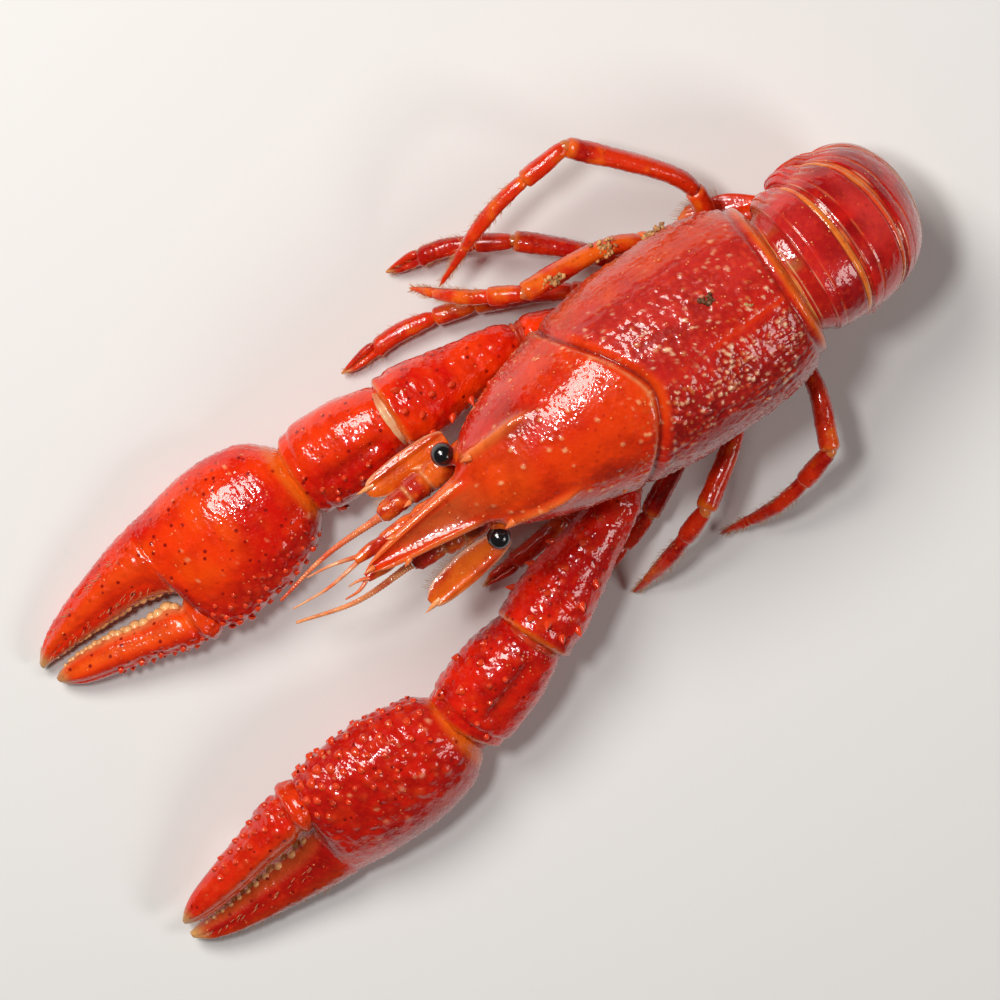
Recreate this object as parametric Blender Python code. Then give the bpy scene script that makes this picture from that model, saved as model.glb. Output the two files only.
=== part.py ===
"""A whole cooked crayfish, lying belly down with its tail curled under and its claws forward.

The head points along -Y, the animal's left side is +X and its back is +Z.
Each hard plate of the shell is one object; neighbours keep a small gap where the soft joint skin is.
Sizes are metres. Points and tables are written in millimetres and multiplied by MM.
"""

import math

import bmesh
import bpy
from mathutils import Matrix, Vector

MM = 0.001

# Driving dimensions.
CARAPACE_LENGTH = 52 * MM  # tip of the rostrum to the rear edge
CARAPACE_HALF_WIDTH = 10.9 * MM
BODY_THICKNESS = 10.4 * MM  # abdomen, from its belly line to its back
ABDOMEN_HALF_WIDTH = 8.2 * MM
TAIL_PLATE_LENGTH = 11.5 * MM
RIGHT_CLAW_LENGTH = 33.9 * MM
LEFT_CLAW_LENGTH = 36.6 * MM
FLOOR = -17.6 * MM  # what it rests on, below the middle of the carapace
JOINT_GAP = 0.3 * MM

CARAPACE_SIDES = 26
ABDOMEN_SIDES = 18
CLAW_SIDES = 12
ARM_SIDES = 10
LEG_SIDES = 7
FAN_SIDES = 10
WHIP_SIDES = 5

UP = Vector((0, 0, 1))
RIGHT, LEFT = -1, 1  # the sign of X on each side


# ---------------------------------------------------------------- making shapes


def glide(stations, at):
    """The values at one place along a table of stations, eased by a cubic that never overshoots."""
    if at <= stations[0][0]:
        return list(stations[0][1:])
    if at >= stations[-1][0]:
        return list(stations[-1][1:])
    k = max(i for i in range(len(stations) - 1) if stations[i][0] <= at)
    values = []
    for column in range(1, len(stations[0])):

        def rise(i):
            step = stations[i + 1][0] - stations[i][0]
            return (stations[i + 1][column] - stations[i][column]) / step

        def slope(i):
            if i == 0 or i == len(stations) - 1:
                return rise(min(i, len(stations) - 2))
            before, after = rise(i - 1), rise(i)
            return 0 if before * after <= 0 else 2 * before * after / (before + after)

        span = stations[k + 1][0] - stations[k][0]
        t = (at - stations[k][0]) / span
        values.append(
            (1 + 2 * t) * (1 - t) ** 2 * stations[k][column]
            + t * (1 - t) ** 2 * span * slope(k)
            + t * t * (3 - 2 * t) * stations[k + 1][column]
            - t * t * (1 - t) * span * slope(k + 1)
        )
    return values


def oval(half_width, above, below, sides, square_above=2.0, square_below=2.0):
    """Points (x, z) of a closed section from +X over the top: a superellipse with its own upper and lower half."""
    points = []
    for i in range(sides):
        angle = 2 * math.pi * i / sides
        c, s = math.cos(angle), math.sin(angle)
        power = 2 / (square_above if s >= 0 else square_below)
        x = half_width * math.copysign(abs(c) ** power, c)
        z = (above if s >= 0 else below) * math.copysign(abs(s) ** power, s)
        points.append((x, z))
    return points


def shell_material(name, colour, roughness):
    """A glossy, wet-looking finish of one colour."""
    material = bpy.data.materials.new(name)
    material.use_nodes = True
    shader = material.node_tree.nodes["Principled BSDF"]
    shader.inputs["Base Color"].default_value = (*colour, 1)
    shader.inputs["Roughness"].default_value = roughness
    shader.inputs["Metallic"].default_value = 0
    material.diffuse_color = (*colour, 1)
    return material


def loft(name, rings, material, parent, matrix=None):
    """One closed body through rings of points, in millimetres, with its two end rings filled.

    Whatever would sink below the floor is pressed flat against it.
    """
    mesh = bpy.data.meshes.new(name)
    shape = bmesh.new()
    place = matrix or Matrix()
    back = place.inverted()
    loops = []
    for ring in rings:
        points = [place @ (Vector(p) * MM) for p in ring]
        loops.append([shape.verts.new(back @ Vector((p.x, p.y, max(p.z, FLOOR)))) for p in points])
    count = len(loops[0])
    for near, far in zip(loops, loops[1:]):
        for i in range(count):
            j = (i + 1) % count
            shape.faces.new((near[i], near[j], far[j], far[i]))
    shape.faces.new(loops[0][::-1])
    shape.faces.new(loops[-1])
    bmesh.ops.recalc_face_normals(shape, faces=shape.faces)
    shape.to_mesh(mesh)
    shape.free()
    mesh.materials.append(material)
    mesh.shade_smooth()
    mesh.set_sharp_from_angle(angle=math.radians(40))
    piece = bpy.data.objects.new(name, mesh)
    bpy.context.scene.collection.objects.link(piece)
    piece.parent = parent
    if matrix is not None:
        piece.matrix_local = matrix
    return piece


def stand_along(start, end, up=UP):
    """The placing of a limb: local +Y runs from start to end, and local +Z leans towards up."""
    along = (Vector(end) - Vector(start)).normalized()
    side = along.cross(Vector(up)).normalized()
    upward = side.cross(along)
    turn = Matrix((side, along, upward)).transposed().to_4x4()
    return Matrix.Translation(Vector(start) * MM) @ turn


def follow(route, share):
    """The point and the direction at a share of the way along a smooth curve through a route."""
    reach = [0.0]
    for near, far in zip(route, route[1:]):
        reach.append(reach[-1] + (far - near).length)
    ends = [2 * route[0] - route[1], *route, 2 * route[-1] - route[-2]]
    way = share * reach[-1]
    i = max(k for k in range(len(route) - 1) if reach[k] <= way + 1e-9)
    t = (way - reach[i]) / (reach[i + 1] - reach[i])
    a, b, c, d = ends[i : i + 4]
    bend, twist = 2 * a - 5 * b + 4 * c - d, 3 * b - a - 3 * c + d
    point = b + 0.5 * ((c - a) * t + bend * t**2 + twist * t**3)
    heading = 0.5 * ((c - a) + 2 * bend * t + 3 * twist * t**2)
    return point, heading.normalized()


def limb(name, route, stations, material, parent, up=UP, rings=8, sides=LEG_SIDES, square=2.2, spine=0.0):
    """One hard stretch of a limb along a route. stations are (share of its length, half width, half height).

    With a spine, every second ring has a point that far out on both edges.
    """
    matrix = stand_along(route[0], route[-1], up)
    back = matrix.inverted()
    local = [back @ (Vector(p) * MM) / MM for p in route]
    bodies = []
    for k in range(rings):
        share = k / (rings - 1)
        share = 0.5 - 0.5 * math.cos(math.pi * share) if rings < 10 else share
        half_width, half_height = glide(stations, share)
        middle, heading = follow(local, share)
        side = heading.cross(UP).normalized()
        upward = side.cross(heading)
        ring = []
        for i, (x, z) in enumerate(oval(half_width, half_height, half_height, sides, square, square)):
            out = spine if k % 2 and k < rings - 1 and i in (0, sides // 2) else 0.0
            ring.append(middle + side * (x + math.copysign(out, x)) + upward * z)
        bodies.append(ring)
    return loft(name, bodies, material, parent, matrix)


def short_of(route, start_gap, end_gap):
    """A route drawn back at both ends, so that the next stretch of the limb starts a gap further on."""
    points = [Vector(p) for p in route]
    points[0] = points[0] + (points[1] - points[0]).normalized() * start_gap
    points[-1] = points[-1] + (points[-2] - points[-1]).normalized() * end_gap
    return points


# ---------------------------------------------------------------- the whole animal

for old in list(bpy.data.objects):
    bpy.data.objects.remove(old)

crayfish = bpy.data.objects.new("crayfish", None)
bpy.context.scene.collection.objects.link(crayfish)

SHELL_RED = shell_material("shell_red", (0.52, 0.025, 0.006), 0.3)
SHELL_ORANGE = shell_material("shell_orange", (0.72, 0.075, 0.008), 0.3)
CLAW_RED = shell_material("claw_red", (0.62, 0.012, 0.004), 0.28)
LEG_RED = shell_material("leg_red", (0.5, 0.02, 0.004), 0.35)
EYE_BLACK = shell_material("eye_black", (0.006, 0.005, 0.005), 0.12)


# ---------------------------------------------------------------- carapace and belly

# (distance forward of the rear edge, half width, middle height, rise above it, drop below it)
CARAPACE = [
    (0.0, 7.5, -0.1, 6.9, 5.6),
    (0.8, 8.6, -0.2, 7.9, 6.4),
    (4.5, 10.2, -0.6, 9.3, 7.2),
    (10.0, 10.9, -0.8, 10.2, 7.6),
    (16.0, 10.8, -0.8, 10.7, 7.8),
    (22.0, 9.9, -0.6, 10.5, 7.7),
    (28.0, 8.6, -0.2, 9.6, 7.2),
    (33.0, 7.0, 0.6, 8.0, 6.4),
    (36.5, 5.4, 1.6, 5.9, 5.4),
    (38.1, 4.0, 2.8, 4.0, 3.2),
    (39.4, 3.0, 4.0, 2.3, 1.2),
    (44.0, 2.05, 4.4, 1.1, 0.9),
    (48.0, 1.35, 4.6, 0.7, 0.7),
    (51.0, 0.65, 4.8, 0.45, 0.45),
    (52.0, 0.2, 5.0, 0.15, 0.15),
]
CARAPACE_SCALE = CARAPACE_LENGTH / MM / CARAPACE[-1][0]
CARAPACE_WIDEN = CARAPACE_HALF_WIDTH / MM / max(row[1] for row in CARAPACE)
GROOVE_AT = 17.8  # the neck groove's middle, forward of the rear edge
GROOVE_SWEEP = 6.0  # how far its ends run forward down the flanks
GROOVE_DEPTH = 0.65
GROOVE_HALF = 0.9
TROUGH_DEPTH = 0.8  # the hollow between the rostrum's raised edges


def carapace_point(forward, across, x, z):
    """Sinks one point of the dome into the neck groove, or into the hollow along the rostrum."""
    from_groove = abs(forward - GROOVE_AT) / GROOVE_HALF
    flank = max(0.0, 1 - max(0.0, across - 0.8) / 0.2)
    groove = GROOVE_DEPTH * flank * max(0.0, 1 - from_groove**2)
    shrink = 1 - groove / math.hypot(x, z)
    rostral = min(1, max(0, (forward - 37) / 4))
    hollow = TROUGH_DEPTH * rostral * max(0, 1 - (1.35 * across) ** 2)
    return x * shrink, z * shrink - hollow


def make_carapace():
    """The dome over head and thorax in one plate, running out into the pointed rostrum."""
    places = [0, 0.8, 2.4, 5, 8.5, 12, 15.2, 16.9, 17.8, 18.7, 20.4, 22.5, 24.8, 27, 29.2, 31.4]
    places += [33.2, 34.8, 36.4, 37.6, 38.5, 39.3, 41, 43.4, 46, 49, 51, 52]
    rings = []
    for place in places:
        # Rings near the neck groove lie along its sweep.
        sweep = GROOVE_SWEEP * max(0.0, 1 - max(0.0, abs(place - GROOVE_AT) - 2) / 15)
        ring = []
        half_width, middle, rise, drop = glide(CARAPACE, place)
        for x, z in oval(half_width, rise, drop, CARAPACE_SIDES, 2.15, 2.7):
            across = min(1.0, abs(x) / half_width) if z > 0 else 1.0
            forward = place + sweep * across**1.5
            wide, level, above, below = glide(CARAPACE, forward)
            x *= wide / half_width
            z *= above / rise if z > 0 else below / drop
            if z > 0:
                x, z = carapace_point(place if sweep else forward, across, x, z)
            ring.append((x * CARAPACE_WIDEN, -forward * CARAPACE_SCALE, level + z))
        rings.append(ring)
    return loft("carapace", rings, SHELL_RED, crayfish)


def make_sternum():
    """The narrow plate between the legs, close under the carapace."""
    # (distance forward, half width, top, bottom)
    stations = [
        (3.0, 2.2, -9.2, -10.6),
        (4.5, 4.0, -9.0, -11.2),
        (14.0, 4.2, -9.1, -11.5),
        (22.0, 3.2, -9.0, -11.2),
        (26.5, 2.2, -8.7, -10.6),
        (28.0, 1.2, -8.7, -9.8),
    ]
    rings = []
    for forward, half_width, top, bottom in stations:
        middle, half = (top + bottom) / 2, (top - bottom) / 2
        rings.append([(x, -forward, middle + z) for x, z in oval(half_width, half, half, 12, 4, 3)])
    return loft("sternum", rings, SHELL_ORANGE, crayfish)


# ---------------------------------------------------------------- curled abdomen

BELLY_START = Vector((0, 0.5, -3.0))  # belly line just behind the carapace
# Lean of each dividing plane in degrees, thickness there, half width there.
ABDOMEN_PLANES = [
    (6, 10.2, 7.5),
    (18, 10.4, 7.9),
    (40, 10.4, 8.2),
    (72, 10.2, 8.0),
    (104, 9.7, 7.4),
    (136, 8.9, 6.6),
    (164, 7.6, 5.6),
]
BELLY_STEPS = [3.0, 2.2, 1.1, 0.9, 0.9, 1.5]  # length of each ring of the abdomen along its belly
THICKEN = BODY_THICKNESS / MM / max(plane[1] for plane in ABDOMEN_PLANES)
WIDEN = ABDOMEN_HALF_WIDTH / MM / max(plane[2] for plane in ABDOMEN_PLANES)
# (share along the ring, swell): a smooth front facet, a step, then the broad plate and its rear lip.
TERGITE = [(0, 0.93), (0.16, 0.955), (0.24, 0.995), (0.6, 1.0), (0.9, 1.0), (1.0, 0.965)]
BELLY_SHARE = 0.38  # where the section is widest, as a share of its thickness


def belly_line():
    """The belly point and the lean, in radians, of each dividing plane."""
    point = BELLY_START.copy()
    leans = [math.radians(plane[0]) for plane in ABDOMEN_PLANES]
    points = [point.copy()]
    for step, near, far in zip(BELLY_STEPS, leans, leans[1:]):
        lean = (near + far) / 2
        point += step * Vector((0, math.cos(lean), -math.sin(lean)))
        points.append(point.copy())
    return points, leans


def abdomen_ring(belly, lean, thickness, half_width, swell):
    """One section of the abdomen in its leaning plane: an arch with the side plates' corners below."""
    backward = Vector((0, math.sin(lean), math.cos(lean)))
    ring = []
    above, below = thickness * (1 - BELLY_SHARE), thickness * BELLY_SHARE
    for x, v in oval(half_width, above, below, ABDOMEN_SIDES, 2.1, 3.6):
        ring.append(belly + Vector((x * swell, 0, 0)) + backward * (below + v * swell))
    return ring


def make_abdomen():
    """Six ring-shaped plates, each a wedge between two leaning planes, so that they curl without touching."""
    points, leans = belly_line()
    for n in range(len(BELLY_STEPS)):
        first, last = ABDOMEN_PLANES[n], ABDOMEN_PLANES[n + 1]
        lean_in, lean_out = leans[n], leans[n + 1]
        half_gap = JOINT_GAP / MM / 2
        start = points[n] + half_gap * Vector((0, math.cos(lean_in), -math.sin(lean_in)))
        end = points[n + 1] - half_gap * Vector((0, math.cos(lean_out), -math.sin(lean_out)))
        rings = []
        for share, swell in TERGITE:
            belly = start.lerp(end, share)
            lean = lean_in + (lean_out - lean_in) * share
            thickness = (first[1] + (last[1] - first[1]) * share) * THICKEN
            half_width = (first[2] + (last[2] - first[2]) * share) * WIDEN
            rings.append(abdomen_ring(belly, lean, thickness, half_width, swell))
        loft(f"abdomen_ring_{n + 1}", rings, SHELL_RED, crayfish)


# ---------------------------------------------------------------- tail fan

FAN_HINGE = Vector((0, 3.6, -15.2))  # where the fan leaves the last ring
# (share of length, half width, half thickness)
TELSON = [(0, 2.9, 1.15), (0.08, 3.4, 1.4), (0.55, 3.3, 0.95), (0.8, 2.9, 0.75), (0.95, 1.9, 0.5), (1, 0.9, 0.3)]
UROPOD = [(0, 0.9, 0.5), (0.12, 1.7, 0.6), (0.5, 3.1, 0.5), (0.78, 3.1, 0.42), (0.94, 2.1, 0.35), (1, 0.9, 0.25)]


def tail_plate(name, start, turn, drop, length, stations, material):
    """A flat tail plate running forward under the body. turn swings its tip outwards, drop tips it down."""
    sideways, downward = math.radians(turn), math.radians(drop)
    ahead = Vector((math.sin(sideways), -math.cos(sideways), -math.sin(downward)))
    route = [start, start + ahead.normalized() * length]
    return limb(name, route, stations, material, crayfish, rings=9, sides=FAN_SIDES, square=2.6)


def make_tail_fan():
    """Telson lowest, with the inner and outer uropods fanned out above it on each side."""
    length = TAIL_PLATE_LENGTH / MM
    tail_plate("telson", FAN_HINGE + Vector((0, 0, -1.2)), 0, 3, length, TELSON, SHELL_RED)
    for side, word in ((RIGHT, "right"), (LEFT, "left")):
        inner = FAN_HINGE + Vector((side * 2.6, -0.1, 1.25))
        outer = FAN_HINGE + Vector((side * 3.7, 0.6, 2.95))
        tail_plate(f"uropod_inner_{word}", inner, side * 10, 9, length * 0.92, UROPOD, SHELL_ORANGE)
        tail_plate(f"uropod_outer_{word}", outer, side * 16, 12.5, length * 0.95, UROPOD, SHELL_RED)


# ---------------------------------------------------------------- claws

# Both claws lie on the floor in front of the head; (x, y, z) of each joint.
CLAW_JOINTS = {
    "right": [
        (-6.4, -20.4, -10.2),
        (-8.6, -26.0, -9.4),
        (-9.2, -41.4, -8.8),
        (-8.8, -52.6, -11.7),
        (-5.2, -85.9, -15.9),
    ],
    "left": [
        (6.6, -20.2, -10.0),
        (11.0, -25.0, -9.0),
        (18.3, -42.2, -8.0),
        (22.4, -53.2, -10.6),
        (24.6, -89.6, -14.6),
    ],
}
CLAW_GAP = 0.9  # between the hard ends of a claw's stretches, where the soft skin folds
CLAW_ROLL = {"right": 6, "left": 32}  # degrees that each claw's spiny inner edge is turned up
# Hand with its fixed finger: (along, outer edge, inner edge, half thickness), inner edge towards the head.
HAND = [
    (0.0, -3.0, 2.8, 2.6),
    (0.9, -4.9, 4.6, 3.9),
    (3.2, -7.0, 6.7, 4.8),
    (8.7, -8.1, 8.0, 5.4),
    (13.0, -7.7, 8.0, 5.1),
    (15.7, -7.4, 7.5, 4.5),
    (16.2, -7.35, 6.6, 4.3),
    (16.6, -7.3, 2.0, 4.1),
    (17.4, -7.3, 1.3, 3.9),
    (19.0, -7.1, 0.4, 3.5),
    (21.8, -6.6, -0.5, 3.0),
    (25.0, -5.9, -0.8, 2.6),
    (29.6, -4.6, -1.2, 2.0),
    (32.6, -3.2, -1.3, 1.2),
    (33.9, -2.0, -1.3, 0.45),
]
# Moving finger, in the hand's own lengths and widths.
FINGER = [
    (16.95, 3.4, 6.2, 2.0),
    (17.7, 2.6, 7.1, 2.8),
    (19.6, 1.9, 6.9, 2.9),
    (22.6, 1.5, 5.7, 2.6),
    (27.0, 0.3, 4.3, 2.1),
    (31.0, -0.2, 2.9, 1.4),
    (32.8, 0.0, 1.7, 0.7),
    (33.4, 0.3, 1.0, 0.3),
]
# Along each stretch of the claw before the hand: (share of its length, half width, half height).
HIP = [(0, 1.2, 1.3), (0.2, 1.9, 2.0), (0.8, 2.1, 2.2), (1, 1.2, 1.3)]
ARM = [(0, 1.2, 1.3), (0.07, 2.2, 2.3), (0.4, 3.1, 3.1), (0.85, 4.3, 4.1), (0.95, 3.9, 3.7), (1, 2.4, 2.4)]
WRIST = [(0, 2.2, 2.2), (0.09, 3.6, 3.5), (0.45, 4.9, 4.4), (0.78, 5.0, 4.4), (0.93, 4.1, 3.6), (1, 2.5, 2.4)]
TOOTH = 0.45  # how far the biting teeth stand out
SPINE = 0.75  # how far the spines on the inner margin stand out


def claw_piece(name, table, places, stretch, mesial, teeth_side, spiny, matrix):
    """A hand or a finger. Its section's own middle drifts from side to side, as the table's edges say."""
    rings = []
    for k, along in enumerate(places):
        outer, inner, half = glide(table, along)
        middle, half_width = (outer + inner) / 2, (inner - outer) / 2
        ring = []
        for x, z in oval(half_width, half, half * 0.92, CLAW_SIDES, 2.1, 2.1):
            edge = abs(z) < 0.2 * half
            out = 0.0
            if edge and k % 2 and spiny and x > 0 and 2 < along < 16:
                out = SPINE
            if edge and k % 2 and 18.5 < along < 29 and x * teeth_side > 0:
                out = TOOTH
            ring.append(((middle + x + math.copysign(out, x)) * mesial, along * stretch, z))
        rings.append(ring)
    return loft(name, rings, CLAW_RED, crayfish, matrix)


def make_claw(word, side, length):
    """Three hard stretches, the hand and the moving finger of one claw, joint after joint."""
    root, shoulder, elbow, wrist, tip = CLAW_JOINTS[word]
    roll = math.radians(CLAW_ROLL[word])
    lean = Vector((side * math.sin(roll), 0, math.cos(roll)))
    hip_route = short_of([root, shoulder], 0, CLAW_GAP)
    limb(f"claw_{word}_hip", hip_route, HIP, CLAW_RED, crayfish, lean, rings=6, sides=ARM_SIDES)
    arm_route = short_of([shoulder, elbow], 0, CLAW_GAP)
    limb(f"claw_{word}_arm", arm_route, ARM, CLAW_RED, crayfish, lean, rings=13, sides=ARM_SIDES, spine=SPINE)
    wrist_route = short_of([elbow, wrist], 0, CLAW_GAP)
    limb(f"claw_{word}_wrist", wrist_route, WRIST, CLAW_RED, crayfish, lean, rings=11, sides=ARM_SIDES, spine=SPINE)
    stretch = length / MM / HAND[-1][0]
    matrix = stand_along(wrist, tip, lean)
    hand_places = [0, 0.9, 2.1, 3.5, 5, 6.5, 8, 9.5, 11, 12.5, 14, 15.2, 15.8, 16.2, 16.6, 17.4, 19]
    hand_places += [20.6, 22.2, 23.8, 25.4, 27, 28.8, 31, 33, 33.9]
    claw_piece(f"claw_{word}_hand", HAND, hand_places, stretch, side, 1, True, matrix)
    finger_places = [16.95, 17.3, 18.2, 19.6, 21, 22.4, 23.8, 25.2, 26.6, 28, 29.6, 31.2, 32.6, 33.4]
    claw_piece(f"claw_{word}_finger", FINGER, finger_places, stretch, side, -1, False, matrix)


# ---------------------------------------------------------------- walking legs

# Root, a point on the way, knee, another point and tip of each leg, front pair first.
LEG_JOINTS = {
    "right": [
        [(-6.6, -15.4, -11.6), (-10.2, -21.0, -13.2), (-13.0, -27.6, -14.8), (-14.6, -35.0, -16.0), (-14.4, -43.0, -16.6)],
        [(-6.6, -11.6, -12.0), (-12.0, -15.6, -12.0), (-16.6, -20.6, -12.4), (-19.6, -26.8, -14.6), (-20.6, -33.2, -16.8)],
        [(-6.8, -6.2, -10.9), (-11.3, -13.0, -7.6), (-12.7, -23.0, -5.6), (-15.4, -28.2, -8.4), (-18.6, -32.2, -12.6)],
        [(-6.4, -2.6, -10.4), (-13.2, -3.0, -7.0), (-23.0, -11.0, -4.6), (-21.6, -20.6, -5.8), (-17.6, -29.6, -8.8)],
    ],
    "left": [
        [(6.4, -15.2, -11.8), (8.8, -21.4, -13.8), (10.6, -28.4, -15.4), (12.2, -36.0, -16.2), (12.8, -43.4, -16.6)],
        [(6.6, -11.4, -11.6), (11.6, -17.6, -12.4), (15.8, -24.8, -13.2), (18.0, -32.0, -15.0), (18.6, -39.0, -16.6)],
        [(6.6, -7.4, -11.0), (12.6, -12.8, -8.6), (17.4, -19.8, -7.2), (20.4, -25.6, -11.6), (22.6, -30.6, -16.8)],
        [(6.4, -3.0, -10.4), (13.0, -3.0, -8.0), (19.6, -5.6, -7.0), (22.2, -12.6, -11.2), (22.6, -19.6, -16.8)],
    ],
}
KNEE_GAP = 1.0
UPPER_LEG = [(0, 0.9, 1.0), (0.06, 1.3, 1.5), (0.5, 1.15, 1.5), (0.9, 1.1, 1.3), (1, 0.5, 0.6)]
LOWER_LEG = [(0, 0.5, 0.6), (0.08, 1.15, 1.25), (0.3, 1.05, 1.2), (0.4, 0.85, 0.95), (0.74, 0.75, 0.8)]
LOWER_LEG += [(0.9, 0.45, 0.45), (1, 0.14, 0.14)]


def make_legs():
    """Four walking legs a side: an upper stretch out to the knee and a tapering lower one."""
    for word, legs in LEG_JOINTS.items():
        for number, (root, thigh, knee, shin, tip) in enumerate(legs, 1):
            upper_route = short_of([root, thigh, knee], 0, KNEE_GAP / 2)
            lower_route = short_of([knee, shin, tip], KNEE_GAP / 2, 0)
            limb(f"leg_{word}_{number}_upper", upper_route, UPPER_LEG, LEG_RED, crayfish, rings=7)
            limb(f"leg_{word}_{number}_lower", lower_route, LOWER_LEG, LEG_RED, crayfish, rings=9)


# ---------------------------------------------------------------- head

EYE = Vector((5.2, -39.0, 2.9))
EYE_RADIUS = 1.25


def make_eye(word, side):
    """A black bead on the end of a short stalk."""
    place = Vector((EYE.x * side, EYE.y, EYE.z))
    shape = bmesh.new()
    bmesh.ops.create_uvsphere(shape, u_segments=10, v_segments=7, radius=EYE_RADIUS * MM)
    mesh = bpy.data.meshes.new(f"eye_{word}")
    shape.to_mesh(mesh)
    shape.free()
    mesh.materials.append(EYE_BLACK)
    mesh.shade_smooth()
    eye = bpy.data.objects.new(f"eye_{word}", mesh)
    bpy.context.scene.collection.objects.link(eye)
    eye.parent = crayfish
    eye.location = place * MM


# (share of the length, half width, half height) of each head part, and its two ends on the left side.
STEM = [(0, 0.9, 0.9), (0.15, 1.5, 1.5), (0.5, 1.4, 1.4), (0.62, 1.1, 1.1), (0.9, 1.0, 1.0), (1, 0.6, 0.6)]
STEM_ENDS = [(3.4, -38.6, -1.4), (3.0, -47.8, 0.2)]
SCALE = [(0, 0.7, 0.35), (0.12, 1.3, 0.4), (0.5, 1.8, 0.4), (0.8, 1.5, 0.35), (0.93, 0.8, 0.3), (1, 0.25, 0.2)]
# The right scale is folded lower and further in than the left one.
SCALE_ENDS = {"left": [(6.2, -38.2, -0.8), (7.2, -48.6, 0.2)], "right": [(5.2, -37.8, -3.7), (4.8, -47.6, -3.6)]}
ANTENNULE = [(0, 0.6, 0.5), (0.3, 0.95, 0.75), (0.7, 0.8, 0.65), (1, 0.45, 0.4)]
ANTENNULE_ENDS = [(1.2, -41.0, 1.6), (1.1, -52.4, 2.4)]
MOUTH_LEG = [(0, 1.0, 1.0), (0.12, 1.5, 1.3), (0.55, 1.5, 1.2), (0.85, 1.1, 1.0), (1, 0.4, 0.4)]
MOUTH_LEG_ENDS = [(1.9, -29.0, -9.9), (1.7, -44.0, -4.6)]
WHIP = [(0, 0.5, 0.5), (1, 0.25, 0.25)]
WHIP_ENDS = [(2.95, -48.2, 0.3), (2.9, -54.5, 0.6), (1.4, -61.0, -0.6)]


def make_feelers(word, side):
    """What stands out under the rostrum on one side: antenna with its scale, antennule and mouth leg."""

    def on_side(ends):
        return [Vector((side * x, y, z)) for x, y, z in ends]

    limb(f"antenna_stem_{word}", on_side(STEM_ENDS), STEM, SHELL_ORANGE, crayfish, rings=9)
    limb(f"antenna_scale_{word}", on_side(SCALE_ENDS[word]), SCALE, SHELL_ORANGE, crayfish)
    limb(f"antenna_whip_{word}", on_side(WHIP_ENDS), WHIP, SHELL_ORANGE, crayfish, sides=WHIP_SIDES)
    limb(f"antennule_{word}", on_side(ANTENNULE_ENDS), ANTENNULE, SHELL_ORANGE, crayfish, rings=7)
    limb(f"mouth_leg_{word}", on_side(MOUTH_LEG_ENDS), MOUTH_LEG, SHELL_ORANGE, crayfish)


# ---------------------------------------------------------------- putting it together


def set_down():
    """Moves the whole animal so that the middle of its footprint is the origin and the floor is z = 0."""
    bpy.context.view_layer.update()
    points = [piece.matrix_world @ v.co for piece in crayfish.children for v in piece.data.vertices]
    low = Vector([min(p[i] for p in points) for i in range(3)])
    high = Vector([max(p[i] for p in points) for i in range(3)])
    crayfish.location = (-(low.x + high.x) / 2, -(low.y + high.y) / 2, -low.z)


make_carapace()
make_sternum()
make_abdomen()
make_tail_fan()
make_claw("right", RIGHT, RIGHT_CLAW_LENGTH)
make_claw("left", LEFT, LEFT_CLAW_LENGTH)
make_legs()
for side_word, side_sign in (("right", RIGHT), ("left", LEFT)):
    make_eye(side_word, side_sign)
    make_feelers(side_word, side_sign)
set_down()
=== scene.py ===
import math

import bpy
import numpy as np
from mathutils import Matrix, Vector


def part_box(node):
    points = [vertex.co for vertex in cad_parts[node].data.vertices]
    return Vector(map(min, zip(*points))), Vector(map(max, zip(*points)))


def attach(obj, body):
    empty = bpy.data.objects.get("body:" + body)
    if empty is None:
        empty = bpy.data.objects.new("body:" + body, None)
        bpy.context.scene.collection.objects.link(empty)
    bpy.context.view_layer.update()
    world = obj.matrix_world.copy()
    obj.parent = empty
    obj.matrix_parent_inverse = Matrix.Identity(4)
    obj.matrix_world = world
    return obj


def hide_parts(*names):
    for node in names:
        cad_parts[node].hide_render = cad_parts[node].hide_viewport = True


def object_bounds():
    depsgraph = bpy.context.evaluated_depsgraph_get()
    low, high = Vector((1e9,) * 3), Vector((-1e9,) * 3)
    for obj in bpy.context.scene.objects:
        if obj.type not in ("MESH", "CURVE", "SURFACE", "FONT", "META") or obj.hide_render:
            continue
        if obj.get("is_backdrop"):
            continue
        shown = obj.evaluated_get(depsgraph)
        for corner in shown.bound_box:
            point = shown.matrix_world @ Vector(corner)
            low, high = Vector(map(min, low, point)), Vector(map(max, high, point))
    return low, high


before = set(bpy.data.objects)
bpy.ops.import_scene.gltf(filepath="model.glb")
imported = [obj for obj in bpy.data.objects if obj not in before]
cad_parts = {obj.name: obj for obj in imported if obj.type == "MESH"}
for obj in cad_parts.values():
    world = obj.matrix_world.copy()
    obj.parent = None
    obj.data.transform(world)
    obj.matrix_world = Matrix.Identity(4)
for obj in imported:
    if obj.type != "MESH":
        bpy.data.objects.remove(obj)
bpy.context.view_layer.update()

# ---------------------------------------------------------------- carapace
# The carapace is one dome of thin boiled shell over head and thorax. Its front is smooth and orange,
# its rear crimson and thick with granules, and the neck groove divides them. It ends in the hollow
# rostrum.

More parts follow.
